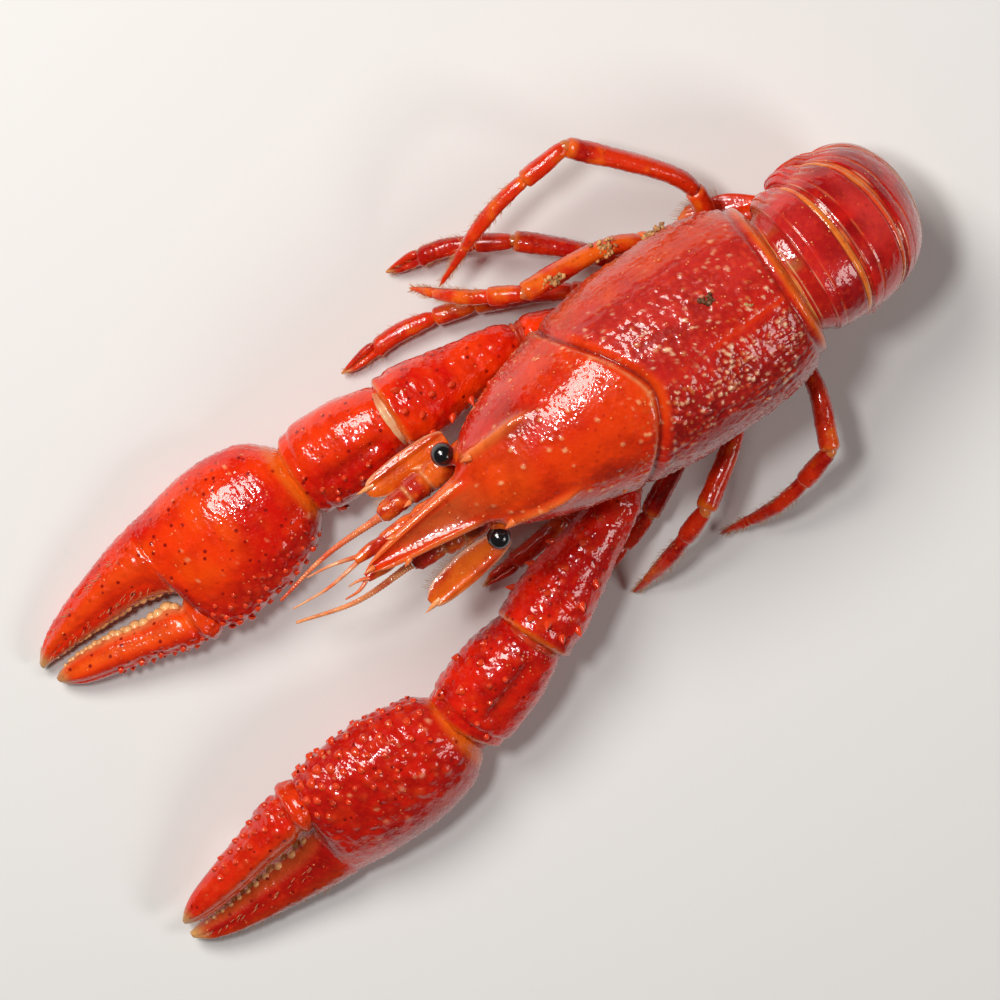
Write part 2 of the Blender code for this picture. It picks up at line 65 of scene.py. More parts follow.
# (distance forward of the rear edge, half width, middle height, rise above it, drop below it), in mm
DOME = [
    (0.0, 7.5, -0.1, 6.9, 5.6),
    (0.8, 8.6, -0.2, 7.9, 6.4),
    (4.5, 10.2, -0.6, 9.3, 7.2),
    (10.0, 10.9, -0.8, 10.2, 7.6),
    (16.0, 10.8, -0.8, 10.7, 7.8),
    (22.0, 9.9, -0.6, 10.5, 7.7),
    (28.0, 8.6, -0.2, 9.6, 7.2),
    (33.0, 7.0, 0.6, 8.0, 6.4),
    (36.5, 5.4, 1.6, 5.9, 5.4),
    (38.1, 4.0, 2.8, 4.0, 3.2),
    (39.4, 3.0, 4.0, 2.3, 1.2),
    (44.0, 2.05, 4.4, 1.1, 0.9),
    (48.0, 1.35, 4.6, 0.7, 0.7),
    (51.0, 0.65, 4.8, 0.45, 0.45),
    (52.0, 0.2, 5.0, 0.15, 0.15),
]
NECK_GROOVE = 17.8
ROSTRUM_FROM = 37
SHELL_LENGTH = 52.0
SHELL_HALF_WIDTH = 10.9
FLOOR = -17.6
# The model is drawn in millimetres from the rear edge of the carapace, then set down in the frame.
shell_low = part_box("carapace")[0]
SET_DOWN = np.array(
    [shell_low[0] * 1000 + SHELL_HALF_WIDTH, shell_low[1] * 1000 + SHELL_LENGTH, -FLOOR]
)

ORANGE = (0.74, 0.040, 0.002)
GOLD = (0.82, 0.150, 0.008)
SCARLET = (0.60, 0.009, 0.002)
CRIMSON = (0.52, 0.014, 0.010)
# The next colour is painted shade, laid into grooves, creases and hollows where shade falls.
PAINTED_SHADE = (0.17, 0.004, 0.003)
PALE = (0.80, 0.38, 0.13)
BLUSH = (0.55, 0.22, 0.25)
WARM_CLOUD = (0.86, 0.060, 0.003)
PORE_RED = (0.26, 0.004, 0.002)
PALE_FLECK = (0.92, 0.42, 0.14)
# The next colour is a painted sheen, a paler pink for the rear shell's side toward the lamps.
ROSE_SHEEN = (0.60, 0.038, 0.028)
# The next colour is painted shade for the rear shell's side away from the big lamp.
SHADED_SIDE_WINE = (0.34, 0.006, 0.006)
GRAIN_RED = (0.72, 0.085, 0.035)
GRAIN_BROWN = (0.58, 0.17, 0.045)
# The next colour is a pale granule tone that also serves as painted glints.
GRAIN_GLINT_PALE = (0.93, 0.66, 0.40)
EDGE_ORANGE = (0.66, 0.032, 0.003)
FRONT_SPECK = (0.88, 0.42, 0.18)
RUST = (0.34, 0.014, 0.003)
GRAIN_OCHRE = (0.55, 0.15, 0.03)
GRAIN_CREAM = (0.92, 0.62, 0.34)
GROOVE_LIP = (0.86, 0.42, 0.16)
RIDGE_GOLD = (0.86, 0.20, 0.035)
ROSTRUM_BROWN = (0.42, 0.09, 0.02)
SPINE_GOLD = (0.84, 0.20, 0.05)


def glide(stations, at):
    """Values along a table of stations, eased by a cubic that never overshoots, one array to a column."""
    table = np.array(stations, float)
    x, y = table[:, 0], table[:, 1:]
    rise = np.diff(y, axis=0) / np.diff(x)[:, None]
    slope = np.vstack([rise[:1], np.zeros((len(x) - 2, y.shape[1])), rise[-1:]])
    same_way = rise[:-1] * rise[1:] > 0
    total = np.where(same_way, rise[:-1] + rise[1:], 1)
    slope[1:-1] = np.where(same_way, 2 * rise[:-1] * rise[1:] / total, 0)
    at = np.clip(at, x[0], x[-1])
    k = np.clip(np.searchsorted(x, at, side="right") - 1, 0, len(x) - 2)
    span = (x[k + 1] - x[k])[..., None]
    t = (at - x[k])[..., None] / span
    values = (1 + 2 * t) * (1 - t) ** 2 * y[k] + t * (1 - t) ** 2 * span * slope[k]
    values = values + t * t * (3 - 2 * t) * y[k + 1] - t * t * (1 - t) * span * slope[k + 1]
    return np.moveaxis(values, -1, 0)


def ease(value, low, high):
    """0 up to low, 1 from high on, and a smooth step between them. Works downwards too."""
    t = np.clip((value - low) / (high - low), 0, 1)
    return t * t * (3 - 2 * t)


def bell(value, width):
    """1 where the value is 0, fading to nothing over about that width on both sides."""
    return np.exp(-((value / width) ** 2))


def turns(count):
    """Evenly spaced angles once round."""
    return np.arange(count) * 2 * math.pi / count


def unit(vector):
    """The direction of a vector, one unit long."""
    return np.asarray(vector, float) / np.linalg.norm(vector)


def power_oval(angle, power):
    """The two legs of a superellipse's radius at an angle."""
    c, s = np.cos(angle), np.sin(angle)
    return np.sign(c) * np.abs(c) ** (2 / power), np.sign(s) * np.abs(s) ** (2 / power)


def chance(cell, seed):
    """An even random number from 0 to 1 for each whole-numbered cell."""
    mixed = cell[..., 0] * 73856093 ^ cell[..., 1] * 19349663 ^ cell[..., 2] * 83492791 ^ seed * 2654435
    mixed = (mixed ^ (mixed >> 13)) * 1274126177 & 0x7FFFFFFF
    mixed = (mixed ^ (mixed >> 15)) * 69069 & 0x7FFFFFFF
    return mixed / 0x7FFFFFFF


def mottle(points, size, seed=0):
    """Soft random patches of about that size, from -1 to 1."""
    q = points / size + 31.7 * seed
    cell = np.floor(q).astype(np.int64)
    t = q - cell
    t = t * t * (3 - 2 * t)
    total = np.zeros(points.shape[:-1])
    for corner in range(8):
        offset = np.array([corner >> 2 & 1, corner >> 1 & 1, corner & 1])
        share = np.prod(np.where(offset == 1, t, 1 - t), axis=-1)
        total += share * (2 * chance(cell + offset, seed) - 1)
    return total


def granules(points, size, seed=0, fullness=1.0):
    """Round grains about that far apart: their height from 0 to 1, and a random number for each grain."""
    q = points / size
    cell = np.floor(q).astype(np.int64)
    nearest = np.full(points.shape[:-1], 9.0)
    number = np.zeros(points.shape[:-1])
    for step in np.ndindex(3, 3, 3):
        near = cell + np.array(step) - 1
        middle = near + np.stack([chance(near, seed + k) for k in (1, 2, 3)], -1) * 0.7 + 0.15
        away = np.linalg.norm(q - middle, axis=-1)
        grain = chance(near, seed + 4)
        away = np.where(grain > fullness, 9.0, away)
        closer = away < nearest
        nearest = np.where(closer, away, nearest)
        number = np.where(closer, grain / fullness, number)
    return np.clip(1 - (nearest / 0.52) ** 2, 0, 1), number


def outward(grid):
    """The normal at each point of a closed grid (along, around), pointing away from its middle line."""
    along = np.gradient(grid, axis=0)
    around = np.roll(grid, -1, 1) - np.roll(grid, 1, 1)
    normal = np.cross(around, along)
    normal /= np.linalg.norm(normal, axis=-1, keepdims=True) + 1e-12
    inside_out = ((grid - grid.mean(1, keepdims=True)) * normal).sum() < 0
    return -normal if inside_out else normal


def raised(grid, height):
    """The grid pushed outward by a height at each of its points."""
    return grid + outward(grid) * np.asarray(height)[..., None]


def way_along(rows, cols):
    """The share of the way along a grid, from 0 to 1, at each of its points."""
    return np.linspace(0, 1, rows)[:, None] * np.ones(cols)[None]


def row_near(rows, distance):
    """The row of a grid that is nearest to a distance along it."""
    return int(np.argmin(np.abs(rows - distance)))


def blend(a, b, share):
    """One colour, or an array of them, faded into another."""
    share = np.asarray(share)[..., None]
    return np.asarray(a, float) * (1 - share) + np.asarray(b, float) * share


def coats(ground, *layers):
    """Coats of colour laid in turn over a ground, each a colour and its share at every point."""
    for colour, share in layers:
        ground = blend(ground, colour, share)
    return ground


def skin(grid, paint):
    """The points, faces and colours of a closed grid, with both its ends shut."""
    rows, cols = grid.shape[:2]
    paint = np.broadcast_to(paint, grid.shape)
    r, c = np.meshgrid(np.arange(rows - 1), np.arange(cols), indexing="ij")
    a, b = r * cols + c, r * cols + (c + 1) % cols
    quads = np.stack([a, b, b + cols, a + cols], -1).reshape(-1, 4)
    first, last = rows * cols, rows * cols + 1
    i = np.arange(cols)
    j = (i + 1) % cols
    start = np.stack([j, i, np.full(cols, first)], -1)
    end = np.stack([i + (rows - 1) * cols, j + (rows - 1) * cols, np.full(cols, last)], -1)
    points = np.vstack([grid.reshape(-1, 3), grid[0].mean(0), grid[-1].mean(0)])
    colours = np.vstack([paint.reshape(-1, 3), paint[0].mean(0), paint[-1].mean(0)])
    mid = rows // 2
    edge = np.cross(grid[mid, 1] - grid[mid, 0], grid[mid + 1, 0] - grid[mid, 0])
    faces = [f for part in (quads, start, end) for f in part.tolist()]
    if edge @ (grid[mid, 0] - grid[mid].mean(0)) < 0:
        faces = [f[::-1] for f in faces]
    return points, faces, colours


def studs(roots, ways, radii, heights, colour, blunt=0.6):
    """Spines or rounded knobs standing on a surface. blunt is 0 for a sharp cone and 1 for a round knob."""
    sides = 8
    profile = [
        (-0.25, 1.05), (0.1, 1.0), (0.45, 0.62 + 0.28 * blunt), (0.8, 0.22 + 0.38 * blunt),
        (0.96, 0.04 + 0.2 * blunt),
    ]
    points, faces, paints = [], [], []
    for root, way, radius, height in zip(roots, ways, radii, heights):
        way = unit(way)
        side = unit(np.cross(way, (0.31, 0.52, 0.79)))
        other = np.cross(way, side)
        base = sum(len(p) for p in points)
        turn = turns(sides)
        circle = np.cos(turn)[:, None] * side + np.sin(turn)[:, None] * other
        rings = [root + way * height * up + circle * radius * wide for up, wide in profile]
        points.append(np.vstack(rings + [root + way * height]))
        paints.append(np.tile(colour, (len(points[-1]), 1)))
        for k in range(len(profile) - 1):
            for i in range(sides):
                a, b = base + k * sides + i, base + k * sides + (i + 1) % sides
                faces.append([a, b, b + sides, a + sides])
        top = base + (len(profile) - 1) * sides
        faces += [[top + i, top + (i + 1) % sides, base + len(profile) * sides] for i in range(sides)]
    return np.vstack(points), faces, np.vstack(paints)


def build(name, patches, material, nodes):
    """Joins patches into one piece of the crayfish, and hides the frame solids it stands for."""
    points, faces, colours = [], [], []
    for patch_points, patch_faces, patch_colours in patches:
        base = sum(len(p) for p in points)
        points.append(patch_points)
        colours.append(patch_colours)
        faces += [[v + base for v in face] for face in patch_faces] if base else patch_faces
    points, colours = np.vstack(points), np.vstack(colours)
    points = np.column_stack([points[:, :2], np.maximum(points[:, 2], FLOOR)])
    mesh = bpy.data.meshes.new(name)
    mesh.from_pydata(((points + SET_DOWN) * 0.001).tolist(), [], faces)
    paint = mesh.attributes.new("paint", "FLOAT_COLOR", "POINT")
    paint.data.foreach_set(
        "color", np.column_stack([colours, np.ones(len(colours))]).astype(np.float32).ravel()
    )
    mesh.shade_smooth()
    mesh.materials.append(material)
    piece = bpy.data.objects.new(name, mesh)
    bpy.context.scene.collection.objects.link(piece)
    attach(piece, "root")
    if nodes:
        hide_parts(*nodes)
    return piece


def wet_shell(name, grain, grain_height, pores=0.35, rough=0.3, gleam=0.6, clear=0.0, ripple=0.06):
    """Boiled shell: painted colour with fine mottling and pores, tiny grains, and a wet film on top.

    grain, grain_height and ripple are in millimetres. pores is how dark the dots are, gleam how wet the
    film is and clear how much light soaks in.
    """
    material = bpy.data.materials.new(name)
    material.use_nodes = True
    nodes, links = material.node_tree.nodes, material.node_tree.links
    nodes.clear()
    out = nodes.new("ShaderNodeOutputMaterial")
    shader = nodes.new("ShaderNodeBsdfPrincipled")
    links.new(shader.outputs[0], out.inputs[0])
    place = nodes.new("ShaderNodeTexCoord")
    to_mm = nodes.new("ShaderNodeVectorMath")
    to_mm.operation = "SCALE"
    to_mm.inputs["Scale"].default_value = 1000
    links.new(place.outputs["Object"], to_mm.inputs[0])

    def added(kind, **settings):
        node = nodes.new(f"ShaderNode{kind}")
        for key, value in settings.items():
            node.inputs[key.replace("_", " ")].default_value = value
        return node

    def noise(scale, detail=3.0, roughness=0.6):
        node = added("TexNoise", Scale=scale, Detail=detail, Roughness=roughness)
        links.new(to_mm.outputs[0], node.inputs["Vector"])
        return node.outputs["Fac"]

    def cells(scale):
        node = added("TexVoronoi", Scale=scale)
        links.new(to_mm.outputs[0], node.inputs["Vector"])
        return node.outputs["Distance"]

    def span(value, low, high, to_low, to_high):
        node = added("MapRange", From_Min=low, From_Max=high, To_Min=to_low, To_Max=to_high)
        links.new(value, node.inputs["Value"])
        return node.outputs["Result"]

    def times(a, b):
        node = nodes.new("ShaderNodeMath")
        node.operation = "MULTIPLY"
        links.new(a, node.inputs[0])
        links.new(b, node.inputs[1])
        return node.outputs[0]

    def tinted(colour, share, tint, mode="MIX"):
        node = nodes.new("ShaderNodeMix")
        node.data_type = "RGBA"
        node.blend_type = mode
        links.new(share, node.inputs["Factor"])
        links.new(colour, node.inputs["A"])
        node.inputs["B"].default_value = (*tint, 1)
        return node.outputs["Result"]

    paint = nodes.new("ShaderNodeAttribute")
    paint.attribute_name = "paint"
    colour = tinted(paint.outputs["Color"], span(noise(0.45, 4), 0.45, 0.72, 0, 0.55), BLUSH, "MULTIPLY")
    colour = tinted(colour, span(noise(1.6, 3), 0.52, 0.75, 0, 0.3), WARM_CLOUD)
    dotted = span(cells(0.85), 0.13, 0.22, 1, 0)
    few = span(noise(0.3, 1), 0.36, 0.5, 0, pores)
    colour = tinted(colour, times(dotted, few), PORE_RED)
    flecked = times(span(cells(1.9), 0.13, 0.22, 0.7, 0), span(noise(0.9, 1), 0.58, 0.68, 0, 1))
    colour = tinted(colour, flecked, PALE_FLECK)
    links.new(colour, shader.inputs["Base Color"])
    links.new(span(noise(2.2, 3), 0.35, 0.7, rough * 0.7, rough * 1.5), shader.inputs["Roughness"])
    shader.inputs["Specular IOR Level"].default_value = 0.15
    shader.inputs["Subsurface Weight"].default_value = clear
    shader.inputs["Subsurface Radius"].default_value = (1.0, 0.22, 0.08)
    shader.inputs["Subsurface Scale"].default_value = 0.0009
    shader.inputs["Coat Weight"].default_value = gleam
    shader.inputs["Coat Roughness"].default_value = 0.07
    shader.inputs["Coat IOR"].default_value = 1.45

    def bumped(value, height, before=None):
        node = added("Bump", Strength=1, Distance=height * 0.001)
        links.new(value, node.inputs["Height"])
        if before is not None:
            links.new(before, node.inputs["Normal"])
        return node.outputs["Normal"]

    relief = bumped(span(cells(1 / grain), 0.05, 0.6, 1, 0), grain_height)
    links.new(relief, shader.inputs["Normal"])
    links.new(bumped(noise(0.9, 2), ripple, relief), shader.inputs["Coat Normal"])
    return material


# The rows stand closer together from DENSE_FROM on, where the shell narrows to the rostrum.
ROWS, COLS = 262, 330
DENSE_FROM, DENSE_ROWS = 36, 64
place, angle = np.meshgrid(
    np.concatenate(
        [
            np.linspace(0, DENSE_FROM, ROWS - DENSE_ROWS, endpoint=False),
            np.linspace(DENSE_FROM, SHELL_LENGTH, DENSE_ROWS),
        ]
    ),
    turns(COLS),
    indexing="ij",
)
sweep = 6.0 * np.maximum(0, 1 - np.maximum(0, np.abs(place - NECK_GROOVE) - 2) / 15)
half, level, rise, drop = glide(DOME, place)
over = np.sin(angle) >= 0
top_x, top_z = power_oval(angle, 2.15)
low_x, low_z = power_oval(angle, 2.7)
x = np.where(over, top_x, low_x) * half
z = np.where(over, top_z * rise, low_z * drop)
across = np.where(over, np.minimum(1, np.abs(x) / half), 1)
forward = place + sweep * across**1.5
wide, level, above, below = glide(DOME, forward)
x = x * wide / half
z = z * np.where(over, above / rise, below / drop)
rostral = np.clip((forward - ROSTRUM_FROM) / 4, 0, 1)
z = z - np.where(over, 0.8 * rostral * np.maximum(0, 1 - (1.35 * across) ** 2), 0)
dome = np.stack([x, -forward, level + z], -1)
normal = outward(dome)

behind = ease(place, NECK_GROOVE - 0.5, NECK_GROOVE - 1.6)
from_groove = place - NECK_GROOVE
down_flank = ease(dome[..., 2], -5.5, -2.0)
top_side = ease(dome[..., 2], -3.0, 0.5)
grain, grain_number = granules(dome, 0.72, 11)
fine, fine_number = granules(dome, 0.5, 23)
coarse = behind * ease(forward, 0.9, 2.4) * (1 - 0.75 * bell(x, 0.8)) * ease(dome[..., 2], -7.5, -5)
coarse = coarse * (0.55 + 0.45 * ease(mottle(dome, 5, 3), -0.3, 0.4))
front_low = (1 - behind) * ease(dome[..., 2] - 1.6 * ease(x, 2, 5), 3.0, -0.5) * ease(forward, 39, 33)
near_groove = (1 - behind) * bell(from_groove - 1.5, 1.6) * 0.5
height = (
    0.17 * grain * coarse * (0.6 + 0.7 * grain_number) + 0.04 * fine * coarse
    + 0.15 * fine * np.maximum(front_low, near_groove)
)
height -= 0.50 * bell(from_groove, 0.42) * down_flank
height += 0.08 * bell(np.abs(from_groove) - 1.2, 0.7) * down_flank
height += 0.20 * bell(forward - 0.55, 0.38) - 0.22 * bell(forward - 1.35, 0.3)
height -= 0.10 * bell(x, 0.16) * behind * top_side * ease(forward, 1.2, 2.2)
# The rostrum's raised edges run back over the head as two short ridges, each ending in a spine.
ridge_x = 4.75 - 0.12 * np.maximum(forward - 31, 0)
ridge = bell(np.abs(x) - ridge_x, 0.42) * ease(forward, 28.5, 32) * ease(forward, 38.2, 37.2) * top_side
height += 0.55 * ridge
margin = bell(np.abs(x) / wide - 0.86, 0.16) * ease(forward, 38.5, 40.5) * over
height += 0.26 * margin * ease(forward, 52, 49)
lane = ease(np.abs(x), 3.2, 2.2) * ease(forward, 31.5, 36) * over
height -= 0.22 * lane * (1 - rostral)
sparse, sparse_number = granules(dome, 0.8, 31, 0.35)
height += 0.08 * sparse * (1 - behind) * (1 - rostral)
height += 0.09 * mottle(dome, 5.0, 5) + 0.03 * mottle(dome, 2.0, 6)
height[-6:] = 0
dome = dome + normal * height[..., None]

patch = mottle(dome, 7.0, 1)
small = mottle(dome, 2.2, 2)
front = blend(ORANGE, SCARLET, ease(patch + 0.5 * small + 0.25 * (np.abs(x) - 5) / 5, -0.3, 0.7) * 0.85)
front = blend(front, GOLD, ease(mottle(dome, 9, 7) + 0.3 * small, 0.15, 0.8) * 0.22)
rear = blend(CRIMSON, SCARLET, ease(patch + 0.5 * small, -0.2, 0.7) * 0.7)
rear = coats(
    rear,
    # painted sheen: paler pink on the animal's right side, toward the big lamp
    (ROSE_SHEEN, 0.45 * ease(-x + small, 0, 5)),
    # painted shade: darker on the animal's left side, away from the big lamp
    (SHADED_SIDE_WINE, 0.6 * ease(x + small, 1, 6)),
    # painted shade in the hollows between the granules
    (PAINTED_SHADE, 0.62 * (1 - grain) * coarse * ease(small, -0.8, 0.3) * (0.7 + 0.3 * ease(x, -3, 1))),
    (GRAIN_RED, 0.55 * grain * coarse * ease(grain_number, 0.3, 0.6)),
)
# Granule tops run from brown to pale: partly the shell's own pale grains and partly painted glints, more of
# them near the middle line.
glint_cut = 0.86 - 0.30 * bell(x - 2.5, 4.5) - 0.08 * ease(small, 0, 0.6)
grain_tone_and_glint = blend(GRAIN_BROWN, GRAIN_GLINT_PALE, ease(mottle(dome, 1.1, 14), -0.4, 0.35))
rear = coats(
    rear,
    (grain_tone_and_glint, 0.9 * ease(grain, 0.52, 0.82) * coarse * (grain_number > glint_cut)),
    (grain_tone_and_glint, 0.8 * ease(fine, 0.45, 0.75) * coarse * (fine_number > glint_cut + 0.06)),
)
right_edge = ease(-x / wide + 0.10 * small + 0.06 * patch, 0.80, 0.95) * over
rear = blend(rear, blend(EDGE_ORANGE, GOLD, 0.16 + 0.2 * small), 0.75 * right_edge)
paint = blend(front, rear, behind)
front_specks = (1 - behind) * ease(sparse, 0.5, 0.9)
paint = coats(
    paint,
    (FRONT_SPECK, 0.75 * front_specks * (sparse_number > 0.6) * (1 - rostral)),
    (RUST, 0.65 * (1 - behind) * ease(mottle(dome, 3.2, 12) + 0.5 * small, 0.25, 0.9) * (1 - rostral)),
    (ORANGE, bell(x + 0.25 * small, 0.5) * behind * top_side * 0.55 * ease(patch + small, -0.7, 0.5)),
)
flank = ease(dome[..., 2] + 0.6 * small, 0.4, -3.2)
paint = coats(
    paint,
    (blend(ORANGE, GOLD, 0.25 + 0.4 * small), flank * 0.8),
    (GRAIN_OCHRE, 0.7 * fine * np.maximum(front_low, near_groove) * (fine_number > 0.45)),
    (GRAIN_CREAM, 0.8 * ease(fine, 0.5, 0.8) * np.maximum(front_low, near_groove) * (fine_number > 0.86)),
    (GROOVE_LIP, 0.5 * bell(from_groove - 0.6, 0.16) * down_flank * ease(small, -0.4, 0.4)),
    # painted shade down the neck groove
    (PAINTED_SHADE, 0.9 * bell(from_groove, 0.22) * down_flank),
    (GOLD, 0.75 * ease(forward, 1.1, 0.7)),
    # painted shade in the groove behind the rear rim
    (PAINTED_SHADE, 0.5 * bell(forward - 1.35, 0.22)),
    (RIDGE_GOLD, 0.7 * np.maximum(margin, ridge)),
    (ROSTRUM_BROWN, 0.65 * rostral * ease(across, 0.62, 0.4) * over * ease(forward, 50, 46)),
    # painted shade along the low edge of the rear carapace, where it turns under
    (PAINTED_SHADE, 0.5 * ease(dome[..., 2], -5.5, -7.5) * behind),
)

# (root, way it points, radius, height)
spines_at = []
for side in (-1, 1):
    spines_at.append(((side * 4.05, -37.0, 6.0), (side * 0.1, -1, -0.05), 0.42, 1.0))
    spines_at.append(((side * 1.42, -47.8, 5.05), (side * 0.45, -1, 0.25), 0.3, 0.85))
    spines_at.append(((side * 7.9, -25.2, 4.3), (side * 0.5, -1, 0.3), 0.42, 1.0))
    spines_at.append(((side * 8.6, -24.2, 2.3), (side * 0.6, -1, 0.1), 0.42, 0.9))
spines_at.append(((0, -51.4, 4.9), (0, -1, 0.25), 0.3, 1.1))
shell_spines = studs(*zip(*spines_at), SPINE_GOLD, blunt=0.15)
shell_finish = wet_shell("boiled carapace", 0.42, 0.018, pores=0.3, rough=0.28, gleam=0.8, ripple=0.035)
build("carapace_shell", [skin(dome, paint), shell_spines], shell_finish, ["carapace"])

# ---------------------------------------------------------------- belly plate and hips
# Between the legs lies a narrow, ribbed breastplate, one rib to each pair of legs. The short hips of the
# legs hinge on its edges, in pale orange shell.

# (distance forward, half width, top, bottom)
BREAST = [
    (2.6, 1.6, -9.2, -10.2),
    (4.5, 4.0, -9.0, -11.2),
    (14.0, 4.2, -9.1, -11.5),
    (22.0, 3.2, -9.0, -11.2),
    (26.5, 2.2, -8.7, -10.6),
    (28.2, 0.8, -8.7, -9.6),
]
forward, angle = np.meshgrid(np.linspace(2.6, 28.2, 90), turns(56), indexing="ij")
wide, high, low = glide(BREAST, forward)
c, s = power_oval(angle, 3)
breast = np.stack([c * wide, -forward, (high + low) / 2 + s * (high - low) / 2], -1)
rib = np.abs(np.sin((forward - 3.5) * math.pi / 4.6))
middle_line = bell(breast[..., 0], 0.35)
breast = raised(breast, 0.35 * rib**0.5 - 0.3 * middle_line - 0.2)
paint = blend(PALE, GOLD, ease(mottle(breast, 2.5, 4), -0.5, 0.6))
# Painted shade in the creases between the ribs.
paint = blend(paint, PAINTED_SHADE, 0.6 * ease(rib, 0.3, 0.0))
joint_finish = wet_shell("soft joint skin", 0.7, 0.03, pores=0.1, rough=0.34, clear=0.15)
build("breastplate", [skin(breast, paint)], joint_finish, ["sternum"])


def smooth_way(route, shares):
    """Points and directions at shares of the way along a smooth curve through a route."""
    route = [np.asarray(p, float) for p in route]
    reach = np.concatenate([[0], np.cumsum([np.linalg.norm(b - a) for a, b in zip(route, route[1:])])])
    ends = [2 * route[0] - route[1], *route, 2 * route[-1] - route[-2]]
    points, headings = [], []
    for share in shares:
        way = share * reach[-1]
        i = min(max(int(np.searchsorted(reach, way, side="right")) - 1, 0), len(route) - 2)
        t = (way - reach[i]) / (reach[i + 1] - reach[i])
        a, b, c, d = ends[i : i + 4]
        bend, twist = 2 * a - 5 * b + 4 * c - d, 3 * b - a - 3 * c + d
        points.append(b + 0.5 * ((c - a) * t + bend * t**2 + twist * t**3))
        headings.append(unit(0.5 * ((c - a) + 2 * bend * t + 3 * twist * t**2)))
    return np.array(points), np.array(headings)


def limb(route, stations, rows, cols, up=(0, 0, 1), power=2.2):
    """The grid of one stretch of limb along a route. stations are (share, half width, half height).

    rows is how many rows it has from end to end, or else the share of the way at which each one stands.
    """
    shares = np.linspace(0, 1, rows) if isinstance(rows, int) else rows
    points, headings = smooth_way(route, shares)
    wide, high = glide(stations, (shares - shares[0]) / (shares[-1] - shares[0]))
    sides = np.cross(headings, up)
    sides /= np.linalg.norm(sides, axis=-1, keepdims=True)
    ups = np.cross(sides, headings)
    c, s = power_oval(turns(cols), power)
    grid = points[:, None] + sides[:, None] * (wide[:, None] * c)[..., None]
    return grid + ups[:, None] * (high[:, None] * s)[..., None]


# Root, a point on the way, knee, another point and tip of each leg, front pair first.
LEGS = {
    "right": [
        [(-6.6, -15.4, -11.6), (-10.2, -21.0, -13.2), (-13.0, -27.6, -14.8),
         (-14.6, -35.0, -16.0), (-14.4, -43.0, -16.6)],
        [(-6.6, -11.6, -12.0), (-12.0, -15.6, -12.0), (-16.6, -20.6, -12.4),
         (-19.6, -26.8, -14.6), (-20.6, -33.2, -16.8)],
        [(-6.8, -6.2, -10.9), (-11.3, -13.0, -7.6), (-12.7, -23.0, -5.6),
         (-15.4, -28.2, -8.4), (-18.6, -32.2, -12.6)],
        [(-6.4, -2.6, -10.4), (-13.2, -3.0, -7.0), (-23.0, -11.0, -4.6),
         (-21.6, -20.6, -5.8), (-17.6, -29.6, -8.8)],
    ],
    "left": [
        [(6.4, -15.2, -11.8), (8.8, -21.4, -13.8), (10.6, -28.4, -15.4),
         (12.2, -36.0, -16.2), (12.8, -43.4, -16.6)],
        [(6.6, -11.4, -11.6), (11.6, -17.6, -12.4), (15.8, -24.8, -13.2),
         (18.0, -32.0, -15.0), (18.6, -39.0, -16.6)],
        [(6.6, -7.4, -11.0), (12.6, -12.8, -8.6), (17.4, -19.8, -7.2),
         (20.4, -25.6, -11.6), (22.6, -30.6, -16.8)],
        [(6.4, -3.0, -10.4), (13.0, -3.0, -8.0), (19.6, -5.6, -7.0),
         (22.2, -12.6, -11.2), (22.6, -19.6, -16.8)],
    ],
}
HIP = [(0, 0.9, 0.9), (0.15, 1.7, 1.6), (0.5, 1.9, 1.75), (0.85, 1.7, 1.6), (1, 1.0, 1.0)]
hips = []
for side_legs in LEGS.values():
    for root, thigh, *_ in side_legs:
        root = np.array(root)
        inner = np.array([0.52 * root[0], root[1] - 0.3, min(root[2] + 0.6, -10.2)])
        grid = limb([inner, root + unit(np.array(thigh) - root) * 0.9], HIP, 26, 26)
        grid = raised(grid, 0.08 * mottle(grid, 1.5, 8))
        tone = blend(GOLD, ORANGE, ease(mottle(grid, 2.0, 9), -0.5, 0.6))
        hips.append(skin(grid, blend(tone, SCARLET, 0.4 * ease(mottle(grid, 3.0, 10), 0, 0.6))))
build("leg_hips", hips, joint_finish, [])

# ---------------------------------------------------------------- abdomen
# Six hoops of shell, each sliding under the one before, curl the tail round until its tip tucks below the
# body. Each has a smooth front facet, a crimson plate, a paler rear lip and a pointed flap on either side.

# Lean of each dividing plane in degrees, thickness there and half width there
HOOP_PLANES = [
    (6, 10.2, 7.5),
    (18, 10.4, 7.9),
    (40, 10.4, 8.2),
    (72, 10.2, 8.0),
    (104, 9.7, 7.4),
    (136, 8.9, 6.6),
    (164, 7.6, 5.6),
]
BELLY_STEPS = [3.0, 2.2, 1.1, 0.9, 0.9, 1.5]
BELLY_SHARE = 0.38
# How far each hoop's pointed side flaps hang below its edge, as a share of the depth there
FLAPS = [0.5, 0.85, 0.8, 0.65, 0.5, 0.3]
PLATE_RED = (0.60, 0.010, 0.006)
PLATE_DEEP = (0.34, 0.003, 0.005)
PLATE_ROSE = (0.70, 0.032, 0.026)
# The next colour is partly a pink tone and partly painted sheen on the top of the hoops.
PLATE_PINK_SHEEN = (0.74, 0.070, 0.060)
FLAP_ORANGE = (0.76, 0.075, 0.006)
PLATE_WINE = (0.30, 0.003, 0.004)
LINE_GOLD = (0.84, 0.20, 0.06)
LIP_ORANGE = (0.80, 0.10, 0.012)
LIP_GOLD = (0.86, 0.24, 0.03)
FACET_RED = (0.50, 0.022, 0.008)
FACET_GOLD = (0.74, 0.20, 0.05)
FIRST_FACET_RED = (0.44, 0.010, 0.006)
FIRST_FACET_BROWN = (0.42, 0.13, 0.03)
FACET_CREAM = (0.84, 0.50, 0.24)
CREASE_CREAM = (0.86, 0.50, 0.30)
MEAT_PALE = (0.70, 0.24, 0.06)
MEAT_RED = (0.55, 0.05, 0.015)
